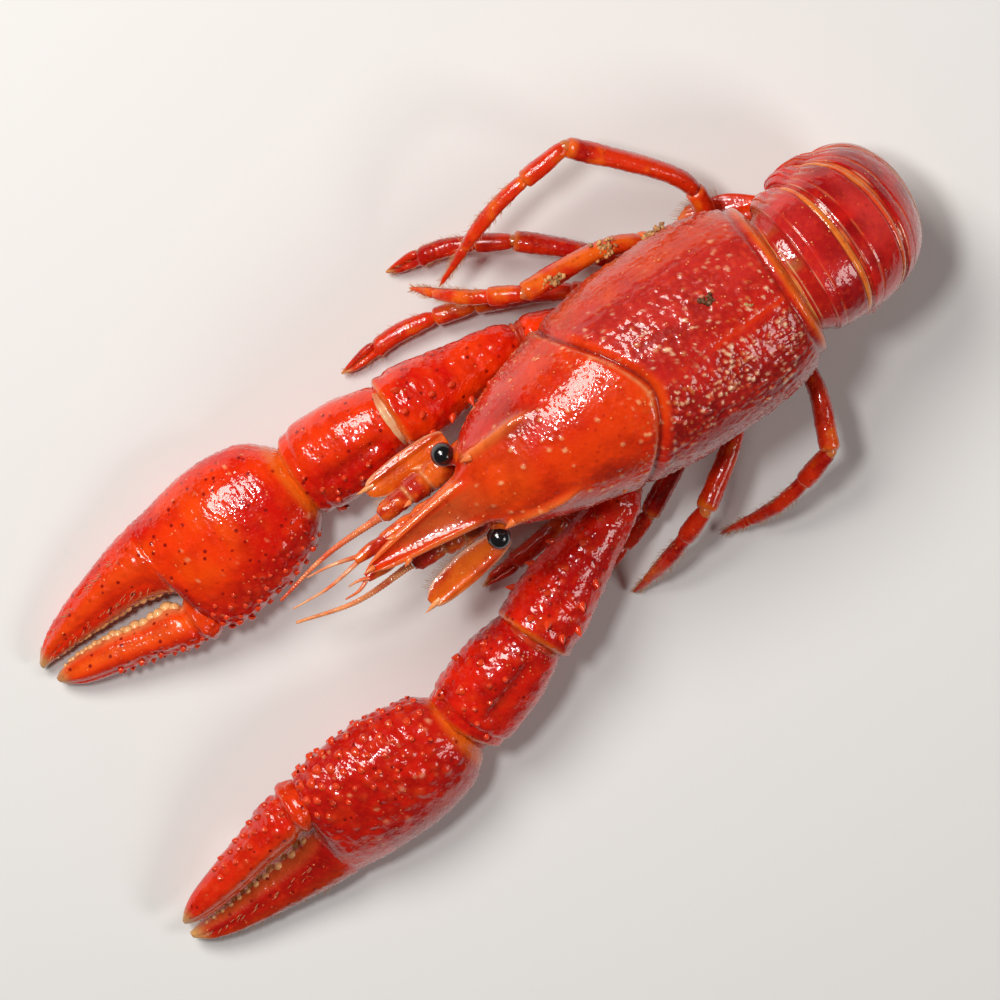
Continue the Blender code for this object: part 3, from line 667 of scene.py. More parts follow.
# (share along the hoop, swell)
HOOP_SWELL = [
    (-0.24, 0.88),
    (-0.05, 0.925),
    (0.02, 0.94),
    (0.07, 0.955),
    (0.11, 0.985),
    (0.18, 1.0),
    (0.6, 1.012),
    (0.9, 1.005),
    (1.0, 0.992),
    (1.05, 0.965),
]

belly_points = [np.array([0, 0.5, -3.0])]
leans = [math.radians(plane[0]) for plane in HOOP_PLANES]
for step, near, far in zip(BELLY_STEPS, leans, leans[1:]):
    lean = (near + far) / 2
    belly_points.append(belly_points[-1] + step * np.array([0, math.cos(lean), -math.sin(lean)]))


def hoop_grid(n, share, swell, angle, flaps=0.0):
    """Points of one hoop at shares of its length (rows) and angles round it (columns)."""
    (_, thick_in, wide_in), (_, thick_out, wide_out) = HOOP_PLANES[n], HOOP_PLANES[n + 1]
    lean = (leans[n] + (leans[n + 1] - leans[n]) * share)[:, None]
    thick = (thick_in + (thick_out - thick_in) * share)[:, None]
    wide = (wide_in + (wide_out - wide_in) * share)[:, None]
    belly = belly_points[n] + (belly_points[n + 1] - belly_points[n]) * share[:, None]
    over = np.sin(angle)[None] >= 0
    tc, ts = power_oval(angle[None], 2.1)
    lc, ls = power_oval(angle[None], 3.6)
    x = wide * np.where(over, tc, lc) * swell[:, None]
    v = thick * np.where(over, (1 - BELLY_SHARE) * ts, BELLY_SHARE * ls) * swell[:, None]
    corner = ease(np.abs(x) / wide, 0.55, 0.95) * ~over
    v = v * (1 + flaps * corner * np.sin(math.pi * np.clip((share + 0.05) / 1.1, 0, 1))[:, None] ** 0.8)
    x = x * (1 + 0.10 * flaps * corner * np.sin(math.pi * np.clip((share + 0.05) / 1.1, 0, 1))[:, None])
    up = thick * BELLY_SHARE + v
    y = belly[:, 1:2] + np.sin(lean) * up
    z = belly[:, 2:3] + np.cos(lean) * up
    return np.stack([x, y, z], -1)


hoop_finish = wet_shell("boiled tail plate", 0.5, 0.014, pores=0.35, rough=0.24, gleam=1.0, ripple=0.09)
angle = turns(150)
for n in range(6):
    # The last rows run back inside, so that the rear lip has a thickness.
    share = np.concatenate([np.linspace(-0.24, 1.0, 64), [1.03, 1.045, 1.05, 1.04, 1.02]])
    swell = glide(HOOP_SWELL, share)[0]
    swell[-2:] = [0.955, 0.925]
    hoop = hoop_grid(n, share, swell, angle, flaps=FLAPS[n])
    t = share[:, None] * np.ones_like(angle)[None]
    back = np.sin(angle)[None] * np.ones_like(t)
    flank_ness = ease(back, 0.55, 0.05)
    lines = -0.10 * bell(t - 0.34, 0.016) - 0.16 * bell(t - 0.90, 0.016) - 0.10 * bell(t - 0.12, 0.014)
    folds = 0.06 * np.sin(t * 26 + 5 * angle[None]) * flank_ness * ease(t, 0.25, 0.4) * ease(t, 0.95, 0.8)
    pits = -0.05 * granules(hoop, 1.1, 40 + n, 0.5)[0] * ease(t, 0.2, 0.3)
    scallops = 0.06 * np.sin(angle[None] * 75) * bell(t - 0.97, 0.03)
    height = lines + folds + pits + scallops + 0.10 * mottle(hoop, 3.5, 50 + n)
    height[-3:] = 0
    hoop = raised(hoop, height)
    patch, small = mottle(hoop, 5.0, 60 + n), mottle(hoop, 1.6, 70 + n)
    plate = blend(PLATE_RED, PLATE_DEEP, ease(patch + 0.5 * small, -0.2, 0.8))
    plate = coats(
        plate,
        (PLATE_ROSE, 0.45 * ease(mottle(hoop, 4.0, 80 + n) + 0.3 * small, 0.0, 0.7)),
        # pink patches on the top of each hoop: partly the shell's pink tone and partly painted sheen
        (PLATE_PINK_SHEEN, 0.4 * ease(mottle(hoop, 5.5, 92 + n), 0.05, 0.6) * ease(back, 0.2, 0.7)),
        (FLAP_ORANGE, 0.7 * flank_ness * ease(small + patch, -0.4, 0.8)),
        (PLATE_WINE, 0.6 * ease(mottle(hoop, 3.0, 95 + n) + 0.3 * small, 0.3, 0.8)),
        (LINE_GOLD, bell(t - 0.345, 0.014) * 0.55 * ease(small, -0.5, 0.4)),
    )
    rim_tone = blend(LIP_ORANGE, LIP_GOLD, ease(small + 0.5 * patch, -0.4, 0.5))
    plate = coats(
        plate,
        (rim_tone, 0.9 * ease(t + 0.02 * small, 0.895, 0.93)),
        # painted shade in the groove in front of the rear lip
        (PAINTED_SHADE, 0.75 * bell(t - 0.898, 0.012)),
    )
    facet = blend(FACET_RED, FACET_GOLD, ease(small, -0.1, 0.6) * 0.8)
    if n == 0:
        facet = blend(
            FIRST_FACET_RED, FIRST_FACET_BROWN, ease(mottle(hoop, 2.4, 88) - 0.10 * hoop[..., 0], 0.2, 0.9)
        )
        facet = blend(facet, FACET_CREAM, 0.7 * bell(t + 0.16, 0.012) * ease(small, -0.5, 0.3))
    plate = blend(facet, plate, ease(t, 0.08, 0.12))
    plate = coats(
        plate,
        (CREASE_CREAM, 0.6 * bell(t - 0.135, 0.012) * ease(mottle(hoop, 2.2, 85 + n), -0.2, 0.5)),
        # painted shade in the crease behind the front facet
        (PAINTED_SHADE, 0.6 * bell(t - 0.115, 0.012)),
        (PALE, 0.5 * ease(back, -0.55, -0.9) * ease(np.abs(hoop[..., 0]), 6.0, 4.5)),
    )
    build(f"abdomen_hoop_{n + 1}", [skin(hoop, plate)], hoop_finish, [f"abdomen_ring_{n + 1}"])

# The meat under its soft skin fills the curl and shows as a pale line between the hoops.
cores = []
core_angle = turns(80)
for n in range(6):
    share = np.linspace(-0.35 if n == 0 else 0, 1, 16)
    cores.append(hoop_grid(n, share, np.full(16, 0.885), core_angle))
core = np.vstack([cores[0]] + [grid[1:] for grid in cores[1:]])
tone = blend(MEAT_PALE, MEAT_RED, ease(mottle(core, 2.0, 90), -0.6, 0.5))
build("abdomen_meat", [skin(core, tone)], joint_finish, [])

# ---------------------------------------------------------------- tail fan
# Five thin plates hinge on the last hoop and fold forward under the belly: the telson in the middle and two
# uropods each side. Each has low ribs, a hinge line across it and a fringe of fine hairs.

FAN_HINGE = np.array([0, 3.6, -15.2])
TELSON = [
    (0, 2.9, 1.15), (0.08, 3.4, 1.4), (0.55, 3.3, 0.95), (0.8, 2.9, 0.75), (0.95, 1.9, 0.5), (1, 0.9, 0.3)
]
UROPOD = [
    (0, 0.9, 0.5), (0.12, 1.7, 0.6), (0.5, 3.1, 0.5), (0.78, 3.1, 0.42), (0.94, 2.1, 0.35), (1, 0.9, 0.25)
]
FAN_RED = (0.58, 0.030, 0.012)
FAN_TIP = (0.84, 0.26, 0.07)
FRINGE_BROWN = (0.62, 0.25, 0.08)


def hairs(roots, ways, lengths, thick, colour, droop=0.25, seed=5):
    """Fine tapering hairs, each bending a little to one side."""
    rng = np.random.default_rng(seed)
    points, faces, base = [], [], 0
    for root, way, length in zip(roots, ways, lengths):
        way = unit(way)
        side = unit(np.cross(way, (0.2, 0.5, 0.83)))
        other = np.cross(way, side)
        lean = side * rng.uniform(-1, 1) + other * rng.uniform(-1, 1)
        turn = turns(3)
        circle = np.cos(turn)[:, None] * side + np.sin(turn)[:, None] * other
        for share, wide in ((-0.03, 1.0), (0.4, 0.75), (0.75, 0.45), (1.0, 0.1)):
            points.append(
                root + way * length * share + lean * length * droop * share**2 + circle * thick * wide
            )
        for k in range(3):
            for i in range(3):
                a, b = base + 3 * k + i, base + 3 * k + (i + 1) % 3
                faces.append([a, b, b + 3, a + 3])
        faces.append([base + 2, base + 1, base])
        faces.append([base + 9, base + 10, base + 11])
        base += 12
    points = np.vstack(points)
    return points, faces, np.tile(colour, (len(points), 1))


fan_finish = wet_shell("thin tail plate", 0.4, 0.02, pores=0.1, rough=0.3, clear=0.3)
fan_plates = [("telson_plate", FAN_HINGE + (0, 0, -1.2), 0, 3, 11.5, TELSON, "telson", "shell_red")]
for hand, word in ((-1, "right"), (1, "left")):
    inner, outer = FAN_HINGE + (hand * 2.6, -0.1, 1.25), FAN_HINGE + (hand * 3.7, 0.6, 2.95)
    fan_plates.append(
        (f"inner_uropod_{word}", inner, hand * 10, 9, 10.58, UROPOD, f"uropod_inner_{word}", "shell_orange")
    )
    fan_plates.append(
        (
            f"outer_uropod_{word}", outer, hand * 16, 12.5, 10.925, UROPOD, f"uropod_outer_{word}",
            "shell_red",
        )
    )
for name, start, turn, drop, length, stations, node, slot in fan_plates:
    turn, drop = math.radians(turn), math.radians(drop)
    ahead = unit((math.sin(turn), -math.cos(turn), -math.sin(drop)))
    shares = np.linspace(0, 1, 70)
    plate = limb([start, start + ahead * length], stations, shares, 84, power=2.6)
    s = shares[:, None] * np.ones(84)[None]
    across_way = unit(np.cross(ahead, (0, 0, 1)))
    off = (plate - start) @ across_way
    ribs = 0.16 * bell(off, 0.35) + 0.09 * bell(np.abs(off) - 1.35, 0.3)
    hinge_line = -0.16 * bell(s - 0.62 - 0.02 * np.cos(off * 4), 0.018)
    rays = 0.05 * np.sin(off * 16) * ease(s, 0.64, 0.72)
    plate = raised(plate, ribs + hinge_line + rays + 0.03 * mottle(plate, 1.5, 13))
    small = mottle(plate, 1.4, 14)
    tone = blend(FAN_RED, ORANGE, ease(small + mottle(plate, 3.5, 15), -0.5, 0.8))
    tone = coats(
        tone,
        (FAN_TIP, 0.8 * ease(s, 0.66, 0.95)),
        # painted shade in the hinge groove
        (PAINTED_SHADE, 0.6 * bell(s - 0.62, 0.02)),
    )
    rim = [plate[r, c] for c in (0, 42) for r in range(36, 70)] + [plate[-2, c] for c in range(0, 84, 3)]
    middle = start + ahead * length * 0.5
    fringe = hairs(rim, [root - middle for root in rim], [0.95] * len(rim), 0.04, FRINGE_BROWN, 0.2)
    build(name, [skin(plate, tone), fringe], fan_finish, [node])

# ---------------------------------------------------------------- eyes
# Each eye is a glossy black bead, finely faceted, on a short stalk that lies in a notch beside the rostrum.

EYE_RADIUS = 1.25
EYE_PLACE = (5.2, -39.0, 2.9)
FACETS_PER_METRE = 9000
BEAD_BLACK = (0.006, 0.005, 0.006)
STALK_RED = (0.55, 0.06, 0.02)
COLLAR_BLACK = (0.02, 0.008, 0.006)


def bead(centre, radius, rows=28, cols=40, axis=(0, 0, 1)):
    """A closed ball as a grid, its poles along an axis."""
    axis = unit(axis)
    side = unit(np.cross(axis, (0.9, 0.2, 0.4)))
    other = np.cross(axis, side)
    lift = np.linspace(-math.pi / 2 + 0.02, math.pi / 2 - 0.02, rows)[:, None]
    turn = turns(cols)[None]
    ball = (
        (np.cos(lift) * np.cos(turn))[..., None] * side + (np.cos(lift) * np.sin(turn))[..., None] * other
    )
    ball = ball + (np.sin(lift) * np.ones_like(turn))[..., None] * axis
    return np.asarray(centre) + ball * radius


eye_finish = bpy.data.materials.new("black eye")
eye_finish.use_nodes = True
eye_nodes, eye_links = eye_finish.node_tree.nodes, eye_finish.node_tree.links
eye_shader = eye_nodes["Principled BSDF"]
eye_paint = eye_nodes.new("ShaderNodeAttribute")
eye_paint.attribute_name = "paint"
eye_links.new(eye_paint.outputs["Color"], eye_shader.inputs["Base Color"])
eye_shader.inputs["Roughness"].default_value = 0.12
eye_shader.inputs["Coat Weight"].default_value = 1
eye_shader.inputs["Coat Roughness"].default_value = 0.04
facets = eye_nodes.new("ShaderNodeTexVoronoi")
facets.inputs["Scale"].default_value = FACETS_PER_METRE
eye_place = eye_nodes.new("ShaderNodeTexCoord")
eye_links.new(eye_place.outputs["Object"], facets.inputs["Vector"])
facet_bump = eye_nodes.new("ShaderNodeBump")
facet_bump.inputs["Strength"].default_value = 0.5
facet_bump.inputs["Distance"].default_value = 0.00002
facet_bump.invert = True
eye_links.new(facets.outputs["Distance"], facet_bump.inputs["Height"])
eye_links.new(facet_bump.outputs["Normal"], eye_shader.inputs["Normal"])
for hand, word in ((-1, "right"), (1, "left")):
    centre = np.array([hand * EYE_PLACE[0], *EYE_PLACE[1:]])
    outward_way = unit((hand * 0.75, -0.6, 0.35))
    ball = bead(centre, EYE_RADIUS, axis=outward_way)
    dark = np.broadcast_to(BEAD_BLACK, ball.shape)
    stalk = limb(
        [centre - outward_way * 3.0, centre + outward_way * 0.2],
        [(0, 0.7, 0.7), (0.5, 0.85, 0.85), (0.72, 1.02, 1.02), (0.9, 1.18, 1.18), (1, 0.9, 0.9)],
        24,
        30,
    )
    collar = ease(np.linalg.norm(stalk - centre, axis=-1), 1.5, 0.9)
    stalk_paint = blend(
        blend(STALK_RED, GOLD, ease(mottle(stalk, 0.7, 3), -0.2, 0.5)), COLLAR_BLACK, collar
    )
    build(
        f"eye_bead_{word}", [skin(ball, dark), skin(stalk, stalk_paint)], eye_finish, [f"eye_{word}"],
    )

# ---------------------------------------------------------------- feelers and mouth legs
# Under the rostrum stand the jointed stems of the antennae and the smaller antennules, with their thin
# ringed whips broken short, a leaf-shaped scale outside each stem, and below them the hairy mouth legs.

STEM = [
    (0, 0.9, 0.9), (0.15, 1.5, 1.5), (0.3, 1.45, 1.45), (0.36, 1.15, 1.15), (0.42, 1.4, 1.4),
    (0.58, 1.35, 1.35),
]
STEM += [(0.63, 1.0, 1.0), (0.68, 1.12, 1.12), (0.92, 1.0, 1.0), (1, 0.62, 0.62)]
BLADE = [
    (0, 0.7, 0.35), (0.12, 1.3, 0.42), (0.5, 1.8, 0.4), (0.8, 1.5, 0.33), (0.93, 0.95, 0.28), (1, 0.3, 0.15)
]
SMALL_STEM = [
    (0, 0.6, 0.5), (0.28, 0.95, 0.78), (0.36, 0.72, 0.6), (0.42, 0.9, 0.74), (0.66, 0.8, 0.66),
    (0.72, 0.62, 0.52),
]
SMALL_STEM += [(0.8, 0.72, 0.58), (1, 0.45, 0.4)]
MOUTH_LEG = [
    (0, 1.0, 1.0), (0.1, 1.5, 1.3), (0.42, 1.55, 1.25), (0.47, 1.2, 1.0), (0.52, 1.35, 1.15),
    (0.7, 1.2, 1.0),
]
MOUTH_LEG += [(0.74, 0.9, 0.8), (0.79, 1.0, 0.85), (0.95, 0.6, 0.55), (1, 0.3, 0.3)]
FEELER_ORANGE = (0.80, 0.13, 0.010)
FEELER_RED = (0.48, 0.016, 0.004)
STEM_SPINE = (0.84, 0.25, 0.08)
AMBER = (0.80, 0.12, 0.006)
LEAF_RED = (0.58, 0.03, 0.004)
LEAF_EDGE_CREAM = (0.90, 0.62, 0.42)
LEAF_EDGE_GOLD = (0.88, 0.50, 0.25)
LEAF_SPINE = (0.86, 0.35, 0.12)
LEAF_HAIR = (0.75, 0.42, 0.2)
WHIP_GOLD = (0.86, 0.33, 0.12)
WHIP_RED = (0.75, 0.10, 0.03)
LASH_GOLD = (0.88, 0.42, 0.2)
LASH_RED = (0.80, 0.16, 0.05)
BEARD_BROWN = (0.60, 0.30, 0.12)
feeler_finish = wet_shell("orange feeler", 0.35, 0.02, pores=0.3, rough=0.3, gleam=0.9, ripple=0.03)


def shaded(grid, size, seed, light=FEELER_ORANGE, deep=FEELER_RED):
    """Plain orange-to-red shell colouring in soft patches."""
    return blend(
        light, deep, ease(mottle(grid, size, seed) + 0.5 * mottle(grid, size / 3, seed + 1), -0.5, 0.6)
    )


for hand, word in ((-1, "right"), (1, "left")):
    along = np.linspace(0, 1, 60)
    stem_ends = [(hand * 3.4, -38.6, -1.4), (hand * 3.0, -47.8, 0.2)]
    stem = limb(stem_ends, STEM, along, 36)
    stem = raised(stem, 0.08 * granules(stem, 0.6, 7)[0] + 0.05 * mottle(stem, 1.2, 8))
    stem_paint = shaded(stem, 1.8, 20)
    pinch = np.maximum(bell(along - 0.36, 0.02), bell(along - 0.63, 0.02))[:, None] * np.ones(36)[None]
    stem_paint = blend(stem_paint, PALE, 0.7 * pinch)
    stem_spines = studs(
        [(hand * 4.6, -41.6, -0.9), (hand * 2.6, -44.6, 0.9)],
        [(hand * 0.5, -1, 0.1), (0, -1, 0.5)],
        [0.35, 0.28],
        [1.1, 0.8],
        STEM_SPINE,
        blunt=0.1,
    )
    root = limb(
        [(hand * 2.6, -35.0, -2.2), stem_ends[0]], [(0, 1.0, 1.0), (0.4, 1.7, 1.6), (1, 1.2, 1.2)],
        16, 28,
    )
    build(f"antenna_base_{word}", [skin(stem, stem_paint), stem_spines, skin(root, shaded(root, 1.5, 22))],
          feeler_finish, [f"antenna_stem_{word}"])

    # The scale has a straight, thick outer edge that ends in a spine, and a thin curved inner edge with
    # hairs. The right one is folded lower and further in.
    scale_ends = [np.array([6.2, -38.2, -0.8]), np.array([7.2, -48.6, 0.2])]
    if word == "right":
        scale_ends = [np.array([-5.2, -37.8, -3.7]), np.array([-4.8, -47.6, -3.6])]
    blade = limb(scale_ends, BLADE, along, 48, power=2.4)
    heading = unit(scale_ends[1] - scale_ends[0])
    outer_way = unit(np.cross(heading, (0, 0, 1))) * -hand
    off = (blade - scale_ends[0]) @ outer_way
    wide = glide(BLADE, along)[0][:, None]
    squared = np.maximum(off, 0) * (1.45 / np.maximum(wide, 0.4) - 1)
    squared = squared * ease(along, 0.05, 0.3)[:, None] * 0.55 * ease(along, 1, 0.9)[:, None]
    blade = blade + outer_way * squared[..., None]
    off = (blade - scale_ends[0]) @ outer_way
    blade = raised(
        blade, 0.14 * bell(off - 0.9, 0.22) - 0.10 * bell(off - 0.4, 0.2) + 0.03 * mottle(blade, 0.9, 9)
    )
    blade_paint = shaded(blade, 2.6, 24, AMBER, LEAF_RED)
    blade_paint = coats(
        blade_paint,
        (GOLD, 0.6 * bell(off + 0.2, 0.7)),
        (LEAF_EDGE_CREAM, 0.85 * ease(off / wide, -0.72, -0.95)),
        (LEAF_EDGE_GOLD, 0.6 * ease(off / wide, 0.75, 0.98)),
    )
    tip_spine = studs(
        [scale_ends[1] + outer_way * 0.55 - heading * 0.6], [heading + 0.1 * outer_way], [0.36], [1.7],
        LEAF_SPINE, blunt=0.05,
    )
    inner_edge = [
        scale_ends[0] + heading * (10.4 * s) - outer_way * w * 0.97
        for s, w in zip(along[18:56], wide[18:56, 0])
    ]
    lashes = hairs(
        inner_edge, [heading * 0.6 - outer_way] * len(inner_edge), [0.9] * len(inner_edge), 0.035, LEAF_HAIR
    )
    build(
        f"antenna_leaf_{word}", [skin(blade, blade_paint), tip_spine, lashes], feeler_finish,
        [f"antenna_scale_{word}"],
    )

    whip_route = [(hand * 2.95, -47.9, 0.2), (hand * 2.9, -54.5, 0.6), (hand * 1.4, -61.0, -0.6)]
    whip_along = np.linspace(0, 1, 170)
    whip = limb(whip_route, [(0, 0.50, 0.50), (0.06, 0.42, 0.42), (1, 0.16, 0.16)], whip_along, 12)
    whip = whip + outward(whip) * (0.035 * np.sin(whip_along * 2 * math.pi * 40))[:, None, None]
    build(f"antenna_lash_{word}", [skin(whip, shaded(whip, 3.0, 26, WHIP_GOLD, WHIP_RED))],
          feeler_finish, [f"antenna_whip_{word}"])

    small_ends = [(hand * 1.2, -41.0, 1.6), (hand * 1.1, -52.4, 2.4)]
    small = limb(small_ends, SMALL_STEM, along, 30)
    small = raised(small, 0.05 * mottle(small, 0.8, 10))
    parts = [skin(small, shaded(small, 1.5, 28))]
    lash_tips = [(-2.3, -57.4, 1.6), (-0.3, -60.4, 1.0)] if hand < 0 else [
        (1.7, -55.4, 2.2), (0.7, -54.4, 2.6)
    ]
    for k, tip in enumerate(lash_tips):
        start = np.array(small_ends[1]) + (0.22 if k else -0.22, 0.5, 0)
        bow = (start + tip) / 2 + (0.3 * hand * (1 - 2 * k), 0, 0.5)
        lash = limb([start, bow, tip], [(0, 0.28, 0.28), (1, 0.09, 0.09)], 80, 8)
        parts.append(skin(lash, shaded(lash, 2.0, 30, LASH_GOLD, LASH_RED)))
    build(f"antennule_stem_{word}", parts, feeler_finish, [f"antennule_{word}"])

    mouth_ends = [(hand * 1.9, -29.0, -9.9), (hand * 1.7, -44.0, -4.6)]
    mouth = limb(mouth_ends, MOUTH_LEG, along, 36)
    mouth = raised(mouth, 0.07 * granules(mouth, 0.7, 12)[0] + 0.06 * mottle(mouth, 1.4, 11))
    way = unit(np.subtract(mouth_ends[1], mouth_ends[0]))
    rng = np.random.default_rng(31)
    tufts = [
        mouth[int(r), int(c)]
        for r, c in zip(rng.integers(6, 58, 260), rng.choice(np.r_[0:6, 30:36, 24:30], 260))
    ]
    tuft_ways = [unit(way * 0.8 + np.array([rng.uniform(-0.6, 0.6), 0, -0.9])) for _ in tufts]
    beard = hairs(tufts, tuft_ways, rng.uniform(0.7, 1.5, 260), 0.035, BEARD_BROWN, seed=8)
    build(
        f"mouth_foot_{word}", [skin(mouth, shaded(mouth, 2.0, 32)), beard], feeler_finish,
        [f"mouth_leg_{word}"],
    )

# ---------------------------------------------------------------- claws
# Each claw has a short hip, a long arm, a thick wrist and a hand whose moving finger bites against a fixed
# one. Pale skin folds at the joints, knobs and spines line the inner edges, and blunt teeth the fingers.

# Root, shoulder, elbow, wrist and tip
CLAW_JOINTS = {
    "right": [
        (-6.4, -20.4, -10.2), (-8.6, -26.0, -9.4), (-9.2, -41.4, -8.8), (-8.8, -52.6, -11.7),
        (-5.2, -85.9, -15.9),
    ],
    "left": [
        (6.6, -20.2, -10.0), (11.0, -25.0, -9.0), (18.3, -42.2, -8.0), (22.4, -53.2, -10.6),
        (24.6, -89.6, -14.6),
    ],
}
CLAW_ROLL = {"right": 6, "left": 32}
CLAW_GAP = 0.9
# How finely the claws are gridded, along and around
ARM_ROWS, WRIST_ROWS = 96, 90
ARM_COLS, PALM_COLS, DACTYL_COLS = 96, 132, 104
# (along, outer edge, inner edge, half thickness) of the hand with its fixed finger, then of the moving one
HAND = [
    (-0.7, -2.6, 2.6, 2.4),
    (0.0, -3.7, 3.4, 3.1),
    (0.9, -4.9, 4.6, 3.9),
    (3.2, -6.8, 6.6, 4.8),
    (8.7, -7.9, 7.9, 5.4),
    (13.0, -7.7, 8.0, 5.1),
    (15.7, -7.4, 7.4, 4.5),
    (16.5, -7.35, 6.6, 4.2),
    (17.0, -7.3, 5.2, 3.9),
    (17.4, -7.3, 1.9, 3.7),
    (18.0, -7.2, 1.1, 3.6),
    (19.0, -7.1, 0.4, 3.5),
    (21.8, -6.6, -0.5, 3.0),
    (25.0, -5.9, -0.8, 2.6),
    (29.6, -4.6, -1.2, 2.0),
    (32.6, -3.2, -1.3, 1.2),
    (33.9, -2.0, -1.3, 0.4),
]
FINGER = [
    (15.6, 3.4, 6.4, 1.6),
    (16.6, 2.6, 7.4, 2.9),
    (17.4, 2.4, 7.5, 3.1),
    (18.2, 2.5, 7.0, 2.8),
    (19.6, 1.9, 6.9, 2.9),
    (22.6, 1.5, 5.7, 2.6),
    (27.0, 0.3, 4.3, 2.1),
    (31.0, -0.2, 2.9, 1.4),
    (32.8, 0.0, 1.7, 0.7),
    (33.5, 0.3, 0.9, 0.25),
]
CLAW_HIP = [(0, 1.2, 1.3), (0.2, 1.9, 2.0), (0.8, 2.1, 2.2), (1, 1.2, 1.3)]
ARM = [
    (0, 1.4, 1.5), (0.07, 2.2, 2.3), (0.4, 3.1, 3.1), (0.85, 4.3, 4.1), (0.95, 4.25, 4.0),
    (0.985, 4.1, 3.85), (1, 3.5, 3.3),
]
WRIST = [
    (0, 2.6, 2.6), (0.10, 3.6, 3.5), (0.2, 4.1, 3.9), (0.5, 4.9, 4.4), (0.8, 5.0, 4.4), (0.94, 4.5, 4.0),
    (0.985, 4.2, 3.7), (1, 3.5, 3.1),
]
KNOB = (0.76, 0.050, 0.010)
HORN = (0.62, 0.36, 0.12)
# Ground colours of each claw: where the shell is thin, where it is thick, and on its fixed finger
CLAW_WARM = {"right": (0.85, 0.036, 0.001), "left": (0.72, 0.012, 0.002)}
CLAW_DEEP = {"right": (0.66, 0.006, 0.001), "left": (0.46, 0.003, 0.002)}
FIXED_FINGER = {"right": (0.74, 0.022, 0.002), "left": (0.34, 0.006, 0.003)}
CLAW_CLOUD = (0.84, 0.065, 0.003)
PALM_GLOW = (0.88, 0.085, 0.001)
PALM_INNER = (0.52, 0.008, 0.004)
KNOB_PINK = (0.86, 0.36, 0.20)
# The next colour is partly pale grain and partly painted glints.
PALM_GRAIN_GLINT = (0.88, 0.40, 0.17)
FINGER_RIDGE = (0.82, 0.085, 0.006)
FINGER_BITE = (0.72, 0.14, 0.03)
TOOTH = (0.80, 0.42, 0.16)
CLAW_BRISTLE = (0.66, 0.34, 0.14)
DACTYL_RED = (0.64, 0.012, 0.003)
DACTYL_RIDGE = (0.84, 0.17, 0.012)
DACTYL_BITE = (0.85, 0.30, 0.10)
DACTYL_TOOTH = (0.82, 0.46, 0.18)
FOLD_DARK = (0.46, 0.03, 0.008)
FOLD_PALE = (0.82, 0.50, 0.26)
FOLD_ORANGE = (0.66, 0.14, 0.03)

claw_finish = wet_shell("boiled claw", 0.40, 0.022, pores=0.95, rough=0.24, gleam=0.9, ripple=0.05)


def drawn_back(start, end, gap):
    """A straight run with its end drawn back by a gap."""
    start, end = np.asarray(start, float), np.asarray(end, float)
    return [start, end - unit(end - start) * gap]


def spread_studs(grid, places, radius, height, colour, lean=(0, 0, 0), blunt=0.6):
    """Studs standing on a grid at (row, column) places. radius and height may be lists."""
    normal = outward(grid)
    n = len(places)
    radii = np.broadcast_to(radius, n)
    heights = np.broadcast_to(height, n)
    roots = [grid[int(r), int(c) % grid.shape[1]] for r, c in places]
    ways = [normal[int(r), int(c) % grid.shape[1]] + np.asarray(lean, float) for r, c in places]
    return studs(roots, ways, radii, heights, colour, blunt=blunt)


def claw_piece(name, patches, node, word):
    """One shell of a claw, in place of one solid of it."""
    build(f"claw_{word}_{name}", patches, claw_finish, [f"claw_{word}_{node}"])


def grooved_ridge(off, groove_off, groove_depth):
    """A low ridge along a finger with a groove on each side. off is the angle from the ridge."""
    grooves = groove_depth * bell(off + groove_off, 0.2)
    return 0.10 * bell(off, 0.22) - grooves - 0.12 * bell(off - 0.62, 0.2)


def claw_paint(grid, share_red, seed, word):
    """Claw colouring: orange where worn thin, deep red elsewhere, in soft patches."""
    patch, small = mottle(grid, 5.0, seed), mottle(grid, 1.5, seed + 1)
    tone = blend(CLAW_WARM[word], CLAW_DEEP[word], ease(share_red + 0.45 * patch + 0.3 * small, 0.25, 0.85))
    return blend(tone, CLAW_CLOUD, 0.35 * ease(mottle(grid, 2.6, seed + 2) + 0.3 * small, 0.35, 0.9))


